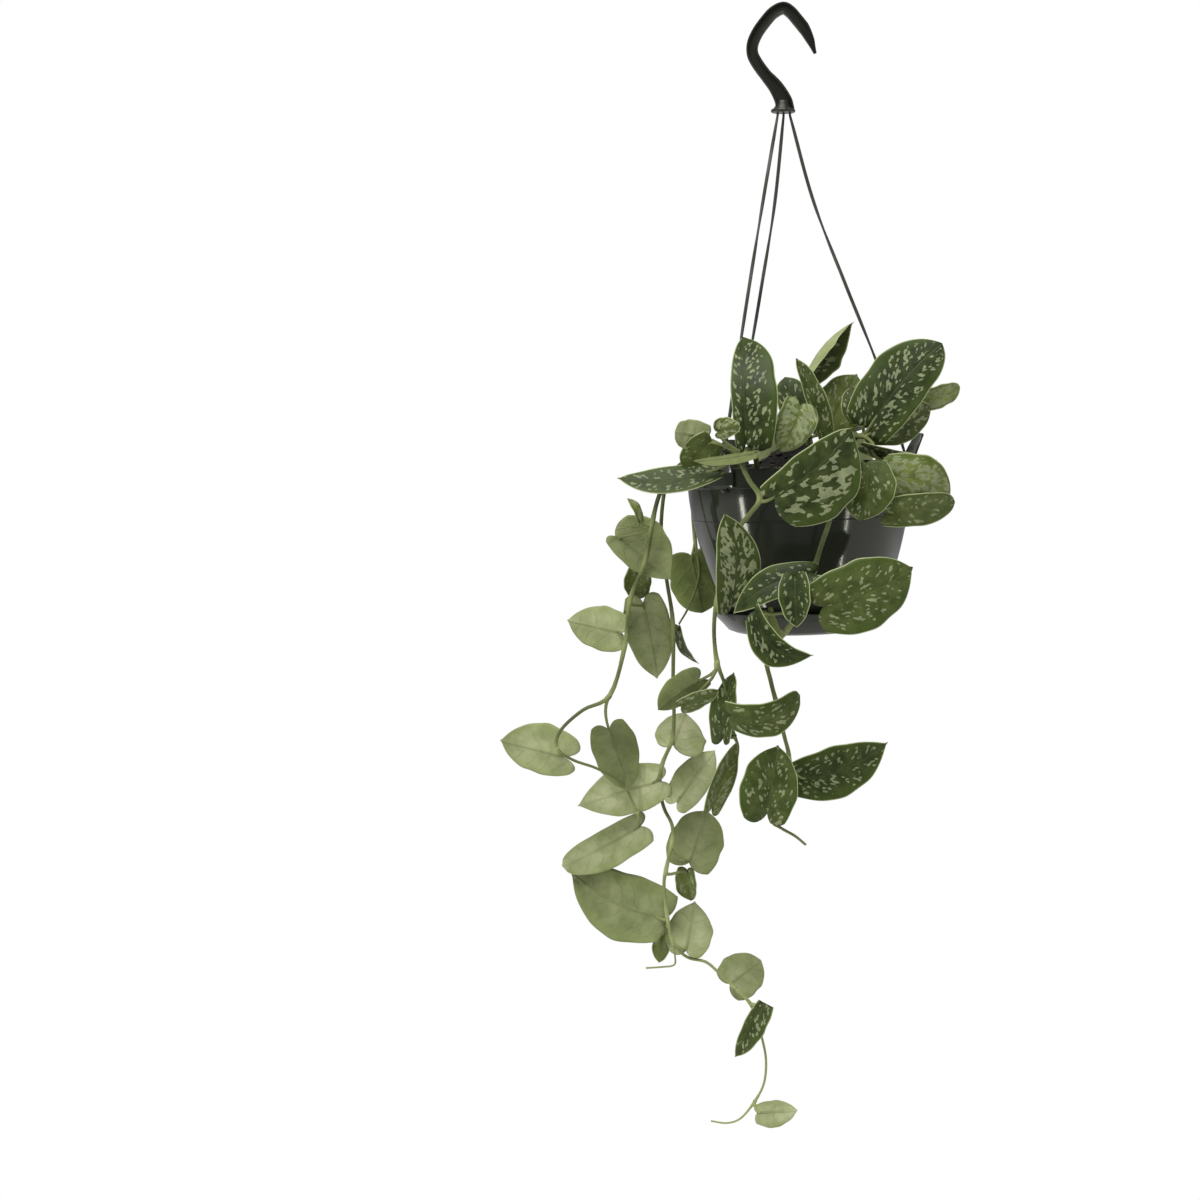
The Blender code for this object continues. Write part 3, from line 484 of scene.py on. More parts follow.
STEMS = (
    Stem("stem_front_left", 1.7, (336, -48), (
        (330, 450, -62), (321, 452, -76), (319, 463, -85), (326, 480, -88), (337, 498, -88),
        (326, 515, -84), (315, 530, -80), (303, 565, -72), (294, 600, -66), (291, 630, -66), (294, 662, -66),
        (302, 686, -64), (304, 715, -62), (311, 735, -60), (315, 752, -58), (306, 790, -58),
    ), (
        Leaf((323, 444, -78), (320, 337, -44), 29, 0, -8, 0.2, -0.05, -0.02, 0.08, -0.45, 0.5),
        Leaf((284, 437, -72), (252, 432, -94), 18.5, 1, 180, 0.1, 0.1, 0, 0.1, 0, 0.42),
        Leaf((294, 432, -82), (318, 427, -92), 13.5, 1, 0, 0.15, -0.1, 0, 0.1, 0.25, 0.5),
        Leaf((330, 453, -92), (270, 461, -86), 9, 1, 225, 0.02, 0.7),
        Leaf((292, 469, -78), (194, 478, -72), 22, 1, 40, -0.02, 0.05, 0.08),
        Leaf((288, 441, -76), (259, 467, -70), 24, 1, -25, 0.08, 0.1),
        Leaf((352, 495, -96), (429, 427, -86), 45, 4, 5, 0.08, -0.05, -0.06, 0.1, -0.4),
        Leaf((309, 604, -78), (301, 513, -86), 30, 8, 22, 0.05, 0.1, -0.08),
        Leaf((275, 681, -58), (235, 710, -44), 20, 10, 165, 0.1, 0.35, 0, 0.15, 0.05, 0.5),
        Leaf((300, 738, -68), (311, 672, -58), 24, 13, -50, 0.1, 0.2, -0.06),
        Leaf((289, 808, -62), (314, 741, -62), 17, 15, 35, 0.03, 0.15, 0.02, 0.1, 0, 0.7),
        Leaf((258, 707, -52), (296, 690, -66), 12, 10, 20, 0.1, 0.1, 0.03, 0.04, 0, 0.45),
    )),
    Stem("stem_front_right", 1.7, (405, -46), (
        (408, 450, -62), (411, 460, -84), (409, 500, -86), (406, 522, -84),
        (398, 546, -80), (391, 570, -76), (384, 600, -74), (364, 630, -72), (344, 655, -70), (348, 682, -70),
        (354, 705, -69), (361, 735, -68), (366, 760, -67), (360, 795, -66), (350, 820, -67), (358, 828, -68),
        (372, 836, -69), (383, 845, -70),
    ), (
        Leaf((390, 575, -86), (310, 614, -86), 22, 5, 22, 0.1, 0.05, -0.08, 0.1, 0, 0.7),
        Leaf((372, 577, -92), (374, 628, -98), 20, 5, 10, 0.08, 0.25),
        Leaf((332, 611, -98), (391, 655, -92), 20, 6, -10, 0.05, 0.15, -0.25, 0.04, -0.25, 0.7),
        Leaf((345, 612, -86), (361, 648, -84), 10, 7, 180, 0.05, 0.1, 0.1),
        Leaf((400, 607, -92), (490, 567, -82), 44, 5, 5, 0.08, -0.05, -0.05),
        Leaf((308, 714, -82), (377, 695, -80), 22, 10, 10, 0.12, -0.05, -0.19, 0.06, -0.05, 0.28),
        Leaf((344, 814, -78), (355, 745, -76), 36, 14, 0, 0.06, 0.2, 0, 0.14, 0.08),
        Leaf((374, 779, -64), (465, 742, -66), 33, 12, 10, 0.05, 0.1, -0.08, 0.1, 0, 0.8),
    )),
    Stem("stem_left_outer", 1.5, (304, -22), (
        (290, 450, -24), (264, 460, -32), (247, 478, -36), (236, 496, -38),
        (229, 524, -38), (222, 562, -36), (207, 600, -35), (202, 645, -35), (187, 695, -35), (160, 710, -35),
        (138, 730, -36), (134, 748, -36), (150, 760, -33), (175, 769, -26), (200, 785, -14), (214, 812, -8),
    ), (
        Leaf((192, 536, -32), (248, 580, -36), 34, 4, 180, 0.08, -0.1, 0, 0.08, -0.4, 0.8),
        Leaf((216, 522, -40), (204, 498, -42), 11, 4, 60, 0.1, 0.3),
        Leaf((216, 569, -8), (213, 600, 2), 18, 5, 0, 0.1, 0.2),
        Leaf((199, 633, -24), (144, 620, -12), 29, 7, 180, 0.1, 0.1),
        Leaf((220, 602, -22), (234, 679, -8), 31, 6, 185, 0.08, 0.1),
        Leaf((186, 730, -26), (206, 792, -14), 30, 8, 180, 0.1, 0.2),
        Leaf((141, 757, -26), (77, 740, -16), 33, 11, 180, 0.1, 0.05, 0, 0.2, 0.1),
        Leaf((218, 826, -2), (139, 866, 4), 27, 15, 200, 0.06, 0.2, 0, 0.08, -0.1, 0.32),
    )),
    Stem("stem_left_inner", 1.3, (316, 0), (
        (298, 447, -4), (270, 456, -10), (250, 472, -14), (241, 494, -16),
        (238, 540, -16), (244, 582, -18), (250, 625, -18), (250, 690, -18), (251, 715, -19), (249, 740, -21),
        (239, 765, -21), (237, 788, 2), (241, 808, 0), (249, 825, -8), (249, 842, -14), (243, 870, -18),
        (241, 886, -18), (244, 915, -18), (250, 942, -16), (264, 957, -6), (283, 962, -8), (297, 974, -14),
        (312, 988, -16), (326, 1002, -16), (334, 1020, -12), (339, 1038, -16), (343, 1060, -18),
        (341, 1083, -19), (332, 1101, -20), (318, 1118, -20), (304, 1123, -20), (288, 1121, -20),
    ), (
        Leaf((257, 628, -10), (276, 664, -4), 16, 6, 70, 0.1, 0.3),
        Leaf((250, 745, -14), (262, 712, 18), 34, 9, 180, 0.06, 0.1, 0, 0.12, 0.2),
        Leaf((237, 781, -12), (154, 806, -4), 33, 10, 175, 0.06, 0.05, 0, 0.1, 0, 0.85),
        Leaf((254, 802, -12), (292, 750, -2), 24, 11, 185, 0.06, 0.1),
        Leaf((266, 863, -10), (284, 811, 2), 36, 14, 180, 0.08, 0.15, 0, 0.1, 0, 0.45),
        Leaf((264, 870, -2), (268, 901, 4), 16, 15, 30, 0.1, 0.3),
        Leaf((242, 918, -8), (148, 873, 8), 45, 17, 180, 0.06, -0.05, -0.07, 0.05),
        Leaf((263, 951, -8), (272, 901, 4), 31, 18, 180, 0.08, 0.1, 0, 0.1, 0, 0.8),
        Leaf((241, 932, 2), (236, 963, 4), 12.5, 17, 10, 0.05, 0.2),
        Leaf((307, 984, -8), (338, 960, 8), 30, 22, 180, 0.08, 0.05, 0, 0.12, 0, 0.45),
        Leaf((340, 1002, -22), (312, 1057, -28), 16, 23, 20, 0.06, 0.15, 0, 0, 0.45, 0.55),
        Leaf((334, 1113, -23), (375, 1110, -26), 17.5, 28, 180, 0.06, 0.1, 0, 0.06, 0.15, 0.75),
    ), (
        ((250, 942, -16), (252, 956, -15), (251, 965, -14), (238, 967, -12), (223, 968, -10)),
    )),
    Stem("stem_back_left", 1.3, (322, 30), (
        (304, 447, 34), (282, 458, 42), (270, 500, 46), (272, 540, 46), (276, 575, 42), (266, 606, 30),
        (256, 624, 16),
    ), (
        Leaf((268, 555, 44), (279, 613, 40), 35, 3, 185, 0.05, 0.05, 0, 0.08, 0, 0.4),
    )),
    Stem("stem_crown_middle", 1.8, (385, -6), (
        (388, 425, -10), (386, 405, -8), (382, 388, -6),
    ), (
        Leaf((377, 406, -40), (356, 452, -60), 25, 0, 0, 0.15, 0.1, 0.06, 0.1, 0, 0.45),
        Leaf((401, 438, -28), (373, 358, -24), 17, 0, 40, 0.04, 0.5, 0, 0.04, 0, 0.5),
        Leaf((383, 376, 2), (431, 322, 6), 23, 2, -120, 0.11, -1.2, 0, 0.04, 0, 0.75),
        Leaf((404, 430, 8), (434, 374, 14), 34, 0, 0, 0.08, 0.1),
        Leaf((374, 414, 6), (362, 377, 12), 22, 0, 10, 0.08, 0.1, 0, 0.1, 0, 0.5),
    )),
    Stem("stem_crown_right", 1.8, (425, -24), (
        (430, 442, -32), (438, 436, -42), (449, 443, -54), (456, 460, -67),
    ), (
        Leaf((449, 424, -48), (519, 343, -40), 40, 1, -8, 0.06, -0.05, 0.04, 0.1, 0.1, 0.42),
        Leaf((438, 419, -28), (428, 387, -24), 20, 1, 0, 0.05, 0.1, 0, 0.08, 0, 0.45),
        Leaf((446, 428, -36), (508, 407, -24), 25, 1, 20, 0.1, 0.1, -0.06, 0.1, 0, 0.45),
        Leaf((500, 400, -12), (537, 387, -4), 16.5, 1, 30, 0.1, 0.1, 0, 0.1, 0, 0.4),
        Leaf((443, 463, -80), (437, 521, -82), 34, 3, 12, 0.08, -0.1, 0.1, 0.08, 0, 0.5),
        Leaf((443, 447, -70), (514, 460, -64), 17, 3, 60, 0.06, 0.1),
        Leaf((462, 475, -76), (527, 497, -64), 32, 3, 8, 0.16, -0.15, 0.1, 0.12, 0, 0.42),
        Leaf((463, 513, -74), (532, 502, -62), 21.5, 3, 20, 0.12, 0.05, 0, 0.08, 0.08, 0.36),
    )),
    Stem("stem_back", 1.6, (384, 36), (
        (386, 440, 52), (388, 446, 80), (389, 475, 88), (392, 510, 86), (386, 545, 84), (382, 585, 80),
    ), (
        Leaf((364, 440, 84), (352, 496, 102), 36, 1, 180, 0.15, 0.05),
        Leaf((414, 442, 84), (438, 498, 98), 38, 1, 180, 0.15, 0.05),
        Leaf((372, 480, 94), (340, 532, 94), 40, 2, 180, 0.1, 0.05),
        Leaf((408, 505, 92), (444, 548, 90), 38, 3, 180, 0.1, 0.05),
        Leaf((370, 545, 90), (348, 594, 88), 36, 4, 180, 0.1, 0.05),
        Leaf((396, 575, 86), (414, 612, 82), 28, 5, 180, 0.1, 0.05),
        Leaf((350, 436, 30), (320, 432, 52), 26, 0, 88, 0.1, 0.1),
        Leaf((404, 436, 20), (452, 430, 50), 34, 0, -75, 0.1, 0.1),
        Leaf((374, 432, 64), (362, 436, 106), 30, 0, 80, 0.12, 0.1),
        Leaf((404, 430, 50), (430, 424, 90), 30, 0, -70, 0.12, 0.1),
    )),
)


def directions(route):
    """The way ahead at each point of a route, from the points before and after it."""
    last = len(route) - 1
    return [(route[min(k + 1, last)] - route[max(k - 1, 0)]).normalized() for k in range(last + 1)]


def smooth_route(points, steps):
    """Points on a curve that passes smoothly through the given ones."""
    ends = [points[0] * 2 - points[1], *points, points[-1] * 2 - points[-2]]
    route = []
    for a, b, c, d in zip(ends, ends[1:], ends[2:], ends[3:]):
        for k in range(steps):
            t = k / steps
            route.append(0.5 * (2 * b + (c - a) * t + (2 * a - 5 * b + 4 * c - d) * t ** 2
                                + (3 * b - a - 3 * c + d) * t ** 3))
    return route + [points[-1].copy()]


def stem_points(stem):
    """Upright out of its hole in the potting mix, and on through its own points."""
    spot = place(stem.root[0], SOIL_ROW, stem.root[1])
    x, y = (spot.x - POT_CENTRE.x) / MM, spot.y / MM
    top = POT_CENTRE.z + soil_height(x, y) * MM - (spot.x - POT_CENTRE.x) * sin(POT_LEAN)
    foot = Vector((spot.x, spot.y, top - ROOT_DEPTH * MM))
    collar = Vector((spot.x, spot.y, top + COLLAR_HEIGHT * MM))
    return [foot, collar] + [place(*point) for point in stem.route]


def skin(shape, loops):
    """Closes rings of points into a tube. Gives its side faces, ring after ring, and its two end faces."""
    count = len(loops[0])
    sides = [shape.faces.new((low[k], low[(k + 1) % count], high[(k + 1) % count], high[k]))
             for low, high in zip(loops, loops[1:]) for k in range(count)]
    return sides, [shape.faces.new(loops[0][::-1]), shape.faces.new(loops[-1])]


def add_tube(shape, route, radii, sides, slot, tones, layer):
    """A round closed tube along a route, without twisting, with a tone for each of its rings."""
    ahead = directions(route)
    across = ahead[0].orthogonal().normalized()
    turns = [2 * pi * k / sides for k in range(sides)]
    loops = []
    for point, direction, radius, tone in zip(route, ahead, radii, tones):
        across = (across - direction * across.dot(direction)).normalized()
        other = direction.cross(across)
        loop = [shape.verts.new(point + (across * cos(turn) + other * sin(turn)) * radius) for turn in turns]
        for vert in loop:
            vert[layer] = (tone, 0.0, 0.0, 1.0)
        loops.append(loop)
    walls, ends = skin(shape, loops)
    for face in walls + ends:
        face.material_index = slot
    for face in walls:
        face.smooth = True


def blade_width(s, taper):
    """Share of the full width, which is drawn in to a small point at the tip."""
    swell = max(sin(pi * (0.2 + 0.8 * s)), 0.0)
    point = min(1.0, taper / BLADE_TAPER) ** 2
    return swell ** (taper + (0.4 * s ** 12 + 0.3 * s ** 40) * point)


def blade_frame(leaf):
    """A blade's foot and length, and the ways that its tip, its upper side and its left edge lie."""
    foot, tip = place(*leaf.base), place(*leaf.tip)
    ahead = (tip - foot).normalized()
    to_eye = (eye() - foot.lerp(tip, 0.5)).normalized()
    face = (to_eye - ahead * to_eye.dot(ahead)).normalized()
    face = Matrix.Rotation(radians(leaf.roll), 3, ahead) @ face
    return foot, (tip - foot).length, ahead, face, face.cross(ahead)


def blade_point(leaf, axes, s, t, seed):
    """A place on the blade's middle surface, its upper side's direction, and its place on the flat leaf."""
    foot, length, ahead, face, side = axes
    hump = 4 * s * (1 - s)
    normal = (face - ahead * (leaf.arch * 4 * (1 - 2 * s))).normalized()
    half = leaf.width * MM / 2 * blade_width(s, leaf.taper) * (1 + leaf.skew * (1 if t > 0 else -1))
    edge = seed * 1.3 + (2.6 if t > 0 else 0.0)
    ripple = EDGE_RIPPLE * sin(10.0 * s + edge) + FINE_RIPPLE * sin(21.0 * s + 2.0 * edge)
    half *= 1.0 + ripple * sin(pi * s)
    across = half * t
    back = leaf.lobe * (1 - s) ** 3 * sin(pi * 0.8 * abs(t) ** 0.8)
    fold = leaf.fold * (sqrt(across ** 2 + (FOLD_ROUNDING * MM) ** 2) - FOLD_ROUNDING * MM)
    wave = EDGE_WAVE * half * abs(t) ** 3 * (sin(9.0 * s + edge) + 0.5 * sin(19.0 * s + edge)) * sin(pi * s)
    vein = (length * s - abs(across) * 0.6) / (VEIN_SPACING * MM)
    quilt = VEIN_RISE * MM * cos(2 * pi * vein + seed) * min(1.0, abs(t) * 4) * (1 - abs(t)) * sin(pi * s)
    groove = -RIB_GROOVE * MM * max(0.0, 1.0 - abs(across) / (RIB_HALF_WIDTH * MM)) * (1 - s)
    spine = foot + ahead * (length * (s - back)) + face * (length * leaf.arch * hump)
    lift = fold + wave + quilt + groove
    flat = Vector((across / MM, (length * (s - back)) / MM))
    return spine + side * (across + length * leaf.bow * hump) + normal * lift, normal, flat


def add_blade(shape, leaf, seed, look, layers, slots):
    """A thin closed blade: upper face, under face, and the cut edge between them."""
    axes = blade_frame(leaf)
    share_uv, flat_uv, look_layer = layers
    upper, lower, notes = [], [], {}
    for i in range(BLADE_ROWS + 1):
        s = (i / BLADE_ROWS) ** 0.92
        for rows, side in ((upper, 0.5), (lower, -0.5)):
            row = []
            for j in range(BLADE_COLUMNS + 1):
                if i == BLADE_ROWS and j:
                    continue
                t = 0.0 if i == BLADE_ROWS else 2 * j / BLADE_COLUMNS - 1
                point, normal, flat = blade_point(leaf, axes, s, t, seed)
                thin = 1.0 - 0.55 * max(abs(t), s) ** 6
                vert = shape.verts.new(point + normal * BLADE_THICK * MM * side * thin)
                vert[look_layer] = look
                notes[vert] = (t, s, flat)
                row.append(vert)
            rows.append(row)

    def face(corners, slot):
        made = shape.faces.new(corners)
        made.material_index = slot
        made.smooth = True
        for loop in made.loops:
            t, s, flat = notes[loop.vert]
            loop[share_uv].uv = (t, s)
            loop[flat_uv].uv = flat

    for rows, slot in zip((upper, lower), slots):
        for low, high in zip(rows, rows[1:]):
            for k in range(BLADE_COLUMNS):
                corners = [low[k], low[k + 1], high[min(k + 1, len(high) - 1)], high[min(k, len(high) - 1)]]
                corners = list(dict.fromkeys(corners))
                face(corners if rows is lower else corners[::-1], slot)
    rims = []
    for rows in (upper, lower):
        left, right = [row[0] for row in reversed(rows[:-1])], [row[-1] for row in rows[1:-1]]
        rims.append(left + rows[0][1:] + right + rows[-1])
    for k in range(len(rims[0])):
        after = (k + 1) % len(rims[0])
        face((rims[0][k], rims[1][k], rims[1][after], rims[0][after]), UPPER)


def stalk_route(leaf, start, heading, axes, seed):
    """Leaf stalk that leaves the stem along it and runs into the blade's midrib."""
    ahead = axes[2]
    inside = blade_point(leaf, axes, 0.09, 0.0, seed)[0]
    reach = (inside - start).length
    lead = start + heading * reach * 0.35
    trail = inside - ahead * reach * 0.25
    route = []
    for k in range(STALK_STEPS + 1):
        t = k / STALK_STEPS
        route.append(start * (1 - t) ** 3 + lead * 3 * t * (1 - t) ** 2 + trail * 3 * t ** 2 * (1 - t)
                     + inside * t ** 3)
    return route


def vine_finish():
    """Green stem, paler and fleshier about its joints, with fine brown flecks."""
    vine = Finish("stem_green", Specular_IOR_Level=0.3)
    spot = vine.where()
    look = vine.node("ShaderNodeAttribute", {"attribute_name": "look"}, {}, "Color")
    joint = vine.node("ShaderNodeSeparateColor", {}, (look,), 0)
    tint = vine.grain(spot, 45.0, 4.0, 0.6)
    fleck = vine.step(vine.grain(spot, 700.0, 2.0), 0.6, 0.7)
    green = vine.blend(vine.step(tint, 0.36, 0.62), paint(52, 62, 32), paint(84, 98, 50))
    green = vine.blend(joint, green, paint(164, 173, 112))
    vine.feed(Base_Color=vine.blend(fleck * 0.35, green, paint(84, 74, 48)), Roughness=tint * 0.3 + 0.42)
    vine.relief(vine.grain(spot, 900.0, 3.0), 0.0003, 0.6)
    return vine.material


def sheath_finish():
    """Papery dried sheath at a joint."""
    dry = Finish("dried_sheath")
    spot = dry.where()
    fibre = dry.grain(spot, 600.0, 3.0)
    dry.feed(Base_Color=dry.blend(fibre, paint(84, 76, 44), paint(128, 116, 74)), Roughness=fibre * 0.2 + 0.7)
    dry.relief(fibre, 0.0003)
    return dry.material


def leaf_parts(finish):
    """What both leaf faces use: shares across and along, place on the flat leaf, and the leaf's own look."""
    share = finish.node("ShaderNodeUVMap", {"uv_map": "share"}, {})
    flat = finish.node("ShaderNodeUVMap", {"uv_map": "flat"}, {})
    t = abs(finish.node("ShaderNodeSeparateXYZ", {}, (share,), 0))
    s = finish.node("ShaderNodeSeparateXYZ", {}, (share,), 1)
    x = finish.node("ShaderNodeSeparateXYZ", {}, (flat,), 0)
    y = finish.node("ShaderNodeSeparateXYZ", {}, (flat,), 1)
    look = finish.node("ShaderNodeAttribute", {"attribute_name": "look"}, {}, "Color")
    parts = [finish.node("ShaderNodeSeparateColor", {}, (look,), k) for k in range(3)]
    return t, s, x, y, parts


def upper_finish():
    """Satin dark green, splashed with silver cells along the veins, with a greener margin and a pale edge."""
    top = Finish("leaf_upper", Specular_IOR_Level=0.24)
    t, _, x, y, (shade, size, amount) = leaf_parts(top)
    side = abs(x)
    seed = shade * 37.0 + x.math("SIGN") * 3.0
    cloud = top.grain(top.node("ShaderNodeCombineXYZ", {}, (x * 0.12, y * 0.12, seed)), 1.0, 5.0, 0.65)
    cloud = top.step(cloud, 0.34, 0.66)
    rag = top.grain(top.node("ShaderNodeCombineXYZ", {}, (x, y, seed)), 0.9, 3.0, 0.6)
    along = (side * 0.42 + y * 0.91) * 0.5 + rag * 0.9
    across = side * 0.91 - y * 0.42 + rag * 0.9
    drawn = top.node("ShaderNodeCombineXYZ", {}, (along, across, seed))
    cell = top.node("ShaderNodeTexVoronoi", {}, {"Vector": drawn, "Scale": 0.9 - size * 0.42}, "Position")
    splash = top.grain(cell, 0.5, 4.0, 0.62) * (1.0 - size) + top.grain(cell, 0.26, 4.0, 0.66) * size
    bare = top.step(t, 0.7, 0.97) * 0.16 + (1.0 - top.step(side, 0.3, 2.4)) * 0.09
    silver = top.step(splash + amount * 0.09 - bare, 0.6, 0.612)
    deep = top.blend(cloud, paint(40, 51, 22), paint(57, 69, 29))
    green = top.blend(shade, deep, top.blend(cloud, paint(108, 123, 54), paint(140, 153, 82)))
    green = top.blend(top.step(t, 0.45, 1.0) * 0.6, green, paint(72, 91, 31))
    rib = 1.0 - top.step(side, 0.2, 0.9)
    green = top.blend(rib * 0.1, green, paint(98, 112, 62))
    sheen = top.blend(cloud, paint(126, 135, 99), paint(154, 161, 121))
    green = top.blend(silver * (rag * 0.5 + 0.6), green, sheen)
    margin = 1.0 - top.step(side * (1.0 - t) / t, 0.35, 0.75)
    green = top.blend(margin * 0.95, green, paint(172, 180, 132))
    top.feed(Base_Color=green, Roughness=silver * 0.12 + cloud * 0.14 + 0.4)
    level = top.node("ShaderNodeCombineXYZ", {}, (x, y, 0.0))
    bead = top.node("ShaderNodeTexVoronoi", {}, {"Vector": level, "Scale": 2.6}, "Distance")
    top.relief(silver * 0.25 - rib * 0.45 + bead * 0.16 + rag * 0.3, 0.0005, 0.7)
    return top.material


def under_finish():
    """Smooth pale grey-green, with a darker midrib and a few faint veins that curve up to the tip."""
    low = Finish("leaf_under", Specular_IOR_Level=0.25)
    t, s, x, y, (shade, _, amount) = leaf_parts(low)
    side = abs(x)
    seed = shade * 37.0
    cloud = low.grain(low.node("ShaderNodeCombineXYZ", {}, (x * 0.07, y * 0.07, seed)), 1.0, 4.0, 0.6)
    cloud = low.step(cloud, 0.3, 0.7)
    rag = low.grain(low.node("ShaderNodeCombineXYZ", {}, (x, y, seed)), 0.8, 3.0, 0.6)
    pale = low.blend(amount, low.blend(cloud, paint(78, 89, 44), paint(106, 117, 62)),
                     low.blend(cloud, paint(176, 184, 130), paint(210, 214, 168)))
    pale = low.blend(low.step(t, 0.35, 1.0) * 0.4, pale, paint(134, 150, 82))
    way = (y - side * 0.5 - side * side * 0.02 + cloud * 6.0) / 11.0
    vein = (1.0 - low.step(abs(way - way.math("ROUND")), 0.02, 0.1)) * low.step(side, 0.6, 2.0)
    vein = vein * (1.0 - low.step(t, 0.6, 0.95))
    pale = low.blend(vein * 0.1, pale, paint(96, 110, 60))
    rib = 1.0 - low.step(side, 0.4, 1.3)
    pale = low.blend(rib * (1.0 - s) * 0.5, pale, paint(98, 112, 60))
    pale = low.blend(low.step(t, 0.95, 0.99) * 0.4, pale, paint(160, 168, 120))
    low.feed(Base_Color=low.blend(rag * 0.16, pale, paint(104, 116, 72)), Roughness=cloud * 0.15 + 0.52)
    low.relief(vein * 0.5 + rib + rag * 0.4, 0.0005, 0.8)
    return low.material


leaf_finishes = (vine_finish(), upper_finish(), under_finish(), sheath_finish())
# A leaf's look is how pale its green is, how large its silver splashes are, and how much silver it has. On an
# underside the last says how pale it is. The paleness is partly the leaf's own tone and partly painted light:
# a leaf that lies in shade, such as the one behind the pot, is given a darker value. None, and a stem that
# isn't listed, take a look by their order.
LOOKS_AND_PAINTED_LIGHT = {
    "stem_front_left": (
        (0.02, 0.0, 0.55), (0.6, 0.0, 0.75), (0.3, 0.0, 1.2), (0.3, 0.0, 0.12), (0.08, 0.0, 0.5),
        (0.4, 0.0, 0.2), (0.05, 1.0, 0.7), (0.1, 0.35, 1.2), (0.2, 0.0, 0.08), (0.08, 0.1, 0.35),
        (0.55, 0.1, 1.0), (0.32, 0.1, 0.8),
    ),
    "stem_front_right": (
        (0.0, 0.0, 0.1), (0.0, 0.0, 0.3), (0.0, 0.1, 0.45), (0.3, 0.0, 0.08), (0.25, 0.1, 0.35),
        (0.25, 0.1, 0.55), (0.2, 0.0, 0.4), (0.08, 0.0, 0.35),
    ),
    "stem_left_outer": (
        (0.3, 0.0, 0.3), (1.0, 0.0, 1.9), (0.5, 0.0, 0.5), (0.4, 0.0, 0.53), (0.3, 0.0, 0.39),
        (0.2, 0.0, 0.23), (0.5, 0.0, 0.5), (0.45, 0.0, 0.62),
    ),
    "stem_left_inner": (
        None, (0.5, 0.0, 1.0), (0.45, 0.0, 0.86), (0.4, 0.0, 0.88), (0.3, 0.0, 0.32), (0.65, 0.0, 0.5),
        (0.35, 0.0, 0.28), (0.4, 0.0, 0.8), (0.7, 0.0, 0.5), (0.45, 0.0, 0.56), (0.12, 0.0, 0.35),
        (0.5, 0.0, 0.78),
    ),
    "stem_back_left": (
        (0.1, 0.0, 0.0),
    ),
    "stem_crown_middle": (
        (0.6, 0.4, 1.55), (0.18, 0.1, 0.8), (0.2, 0.2, 0.6), (0.5, 0.1, 0.55), None,
    ),
    "stem_crown_right": (
        (0.0, 0.1, 0.65), (0.15, 0.0, 0.7), (0.22, 0.1, 0.9), (0.95, 0.0, 1.6), (0.2, 0.0, 0.3),
        (0.03, 0.0, 0.75), (0.72, 0.3, 1.4), (0.35, 0.1, 0.5),
    ),
}
# Leaves whose two faces are the other way round from the rest.
TURNED = {("stem_crown_middle", 2)}
# How pale a vine is at its foot and at its tip.
STEM_TONES = {
    "stem_front_left": (0.3, 0.15), "stem_front_right": (0.1, 0.4), "stem_left_outer": (-0.05, 0.35),
    "stem_left_inner": (-0.15, 1.1),
}
for order, stem in enumerate(STEMS):
    shape = bmesh.new()
    layers = (shape.loops.layers.uv.new("share"), shape.loops.layers.uv.new("flat"),
              shape.verts.layers.float_color.new("look"))
    knots = stem_points(stem)
    heads = directions(knots)
    route = smooth_route(knots, ROUTE_STEPS)
    radii, tones, base = [], [], []
    start_tone, end_tone = STEM_TONES.get(stem.name, (0.1, 0.3))
    joints = {(leaf.at + FIRST_JOINT) * ROUTE_STEPS for leaf in stem.leaves}
    for k in range(len(route)):
        taper = 1.0 - 0.55 * (k / (len(route) - 1)) ** 2
        swell = max(exp(-((k - joint) / 1.6) ** 2) for joint in joints)
        radii.append(stem.radius * MM * (taper + 0.28 * swell))
        base.append(start_tone + (end_tone - start_tone) * k / len(route))
        tones.append(min(1.0, max(0.0, base[-1] + 0.55 * swell)))
    add_tube(shape, route, radii, STEM_SIDES, VINE, tones, layers[2])
    unlisted = [None] * len(stem.leaves)
    for number, leaf in enumerate(stem.leaves):
        seed = 1.7 * number + 2.3 * order
        joint = leaf.at + FIRST_JOINT
        start, heading = knots[joint], heads[joint]
        # A listed look's paleness carries painted light along with the leaf's own tone.
        look = LOOKS_AND_PAINTED_LIGHT.get(stem.name, unlisted)[number] or (0.2 + 0.2 * sin(seed * 5.1), 0.2, 0.5)
        faces = (UNDER, UPPER) if (stem.name, number) in TURNED else (UPPER, UNDER)
        add_blade(shape, leaf, seed, (*look, 1.0), layers, faces)
        stalk = stalk_route(leaf, start, heading, blade_frame(leaf), seed)
        widths = [STALK_RADIUS * MM * (1.25 - 0.4 * k / STALK_STEPS) for k in range(STALK_STEPS + 1)]
        fade = [min(1.0, 0.45 - 0.04 * k + 0.8 * base[joint * ROUTE_STEPS]) for k in range(STALK_STEPS + 1)]
        add_tube(shape, stalk, widths, STALK_SIDES, VINE, fade, layers[2])
        sheath = [start + (stalk[1] - start) * share for share in (-0.3, 0.2, 0.7, 1.1)]
        widths = [stem.radius * MM * share for share in (0.95, 1.12, 0.9, 0.5)]
        slot = SHEATH if number % 4 == 1 else VINE
        add_tube(shape, sheath, widths, STALK_SIDES, slot, (1.0, 0.9, 0.8, 0.7), layers[2])
    for shoot in stem.shoots:
        root = smooth_route([place(*point) for point in shoot], ROUTE_STEPS)
        widths, fade = [SHOOT_RADIUS * MM] * len(root), [0.7] * len(root)
        add_tube(shape, root, widths, STALK_SIDES, VINE, fade, layers[2])
    bmesh.ops.recalc_face_normals(shape, faces=shape.faces)
    plant = cast(f"{stem.name}_leaves", shape)
    for finish in leaf_finishes:
        plant.data.materials.append(finish)
    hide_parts(stem.name)
    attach(plant, "root")


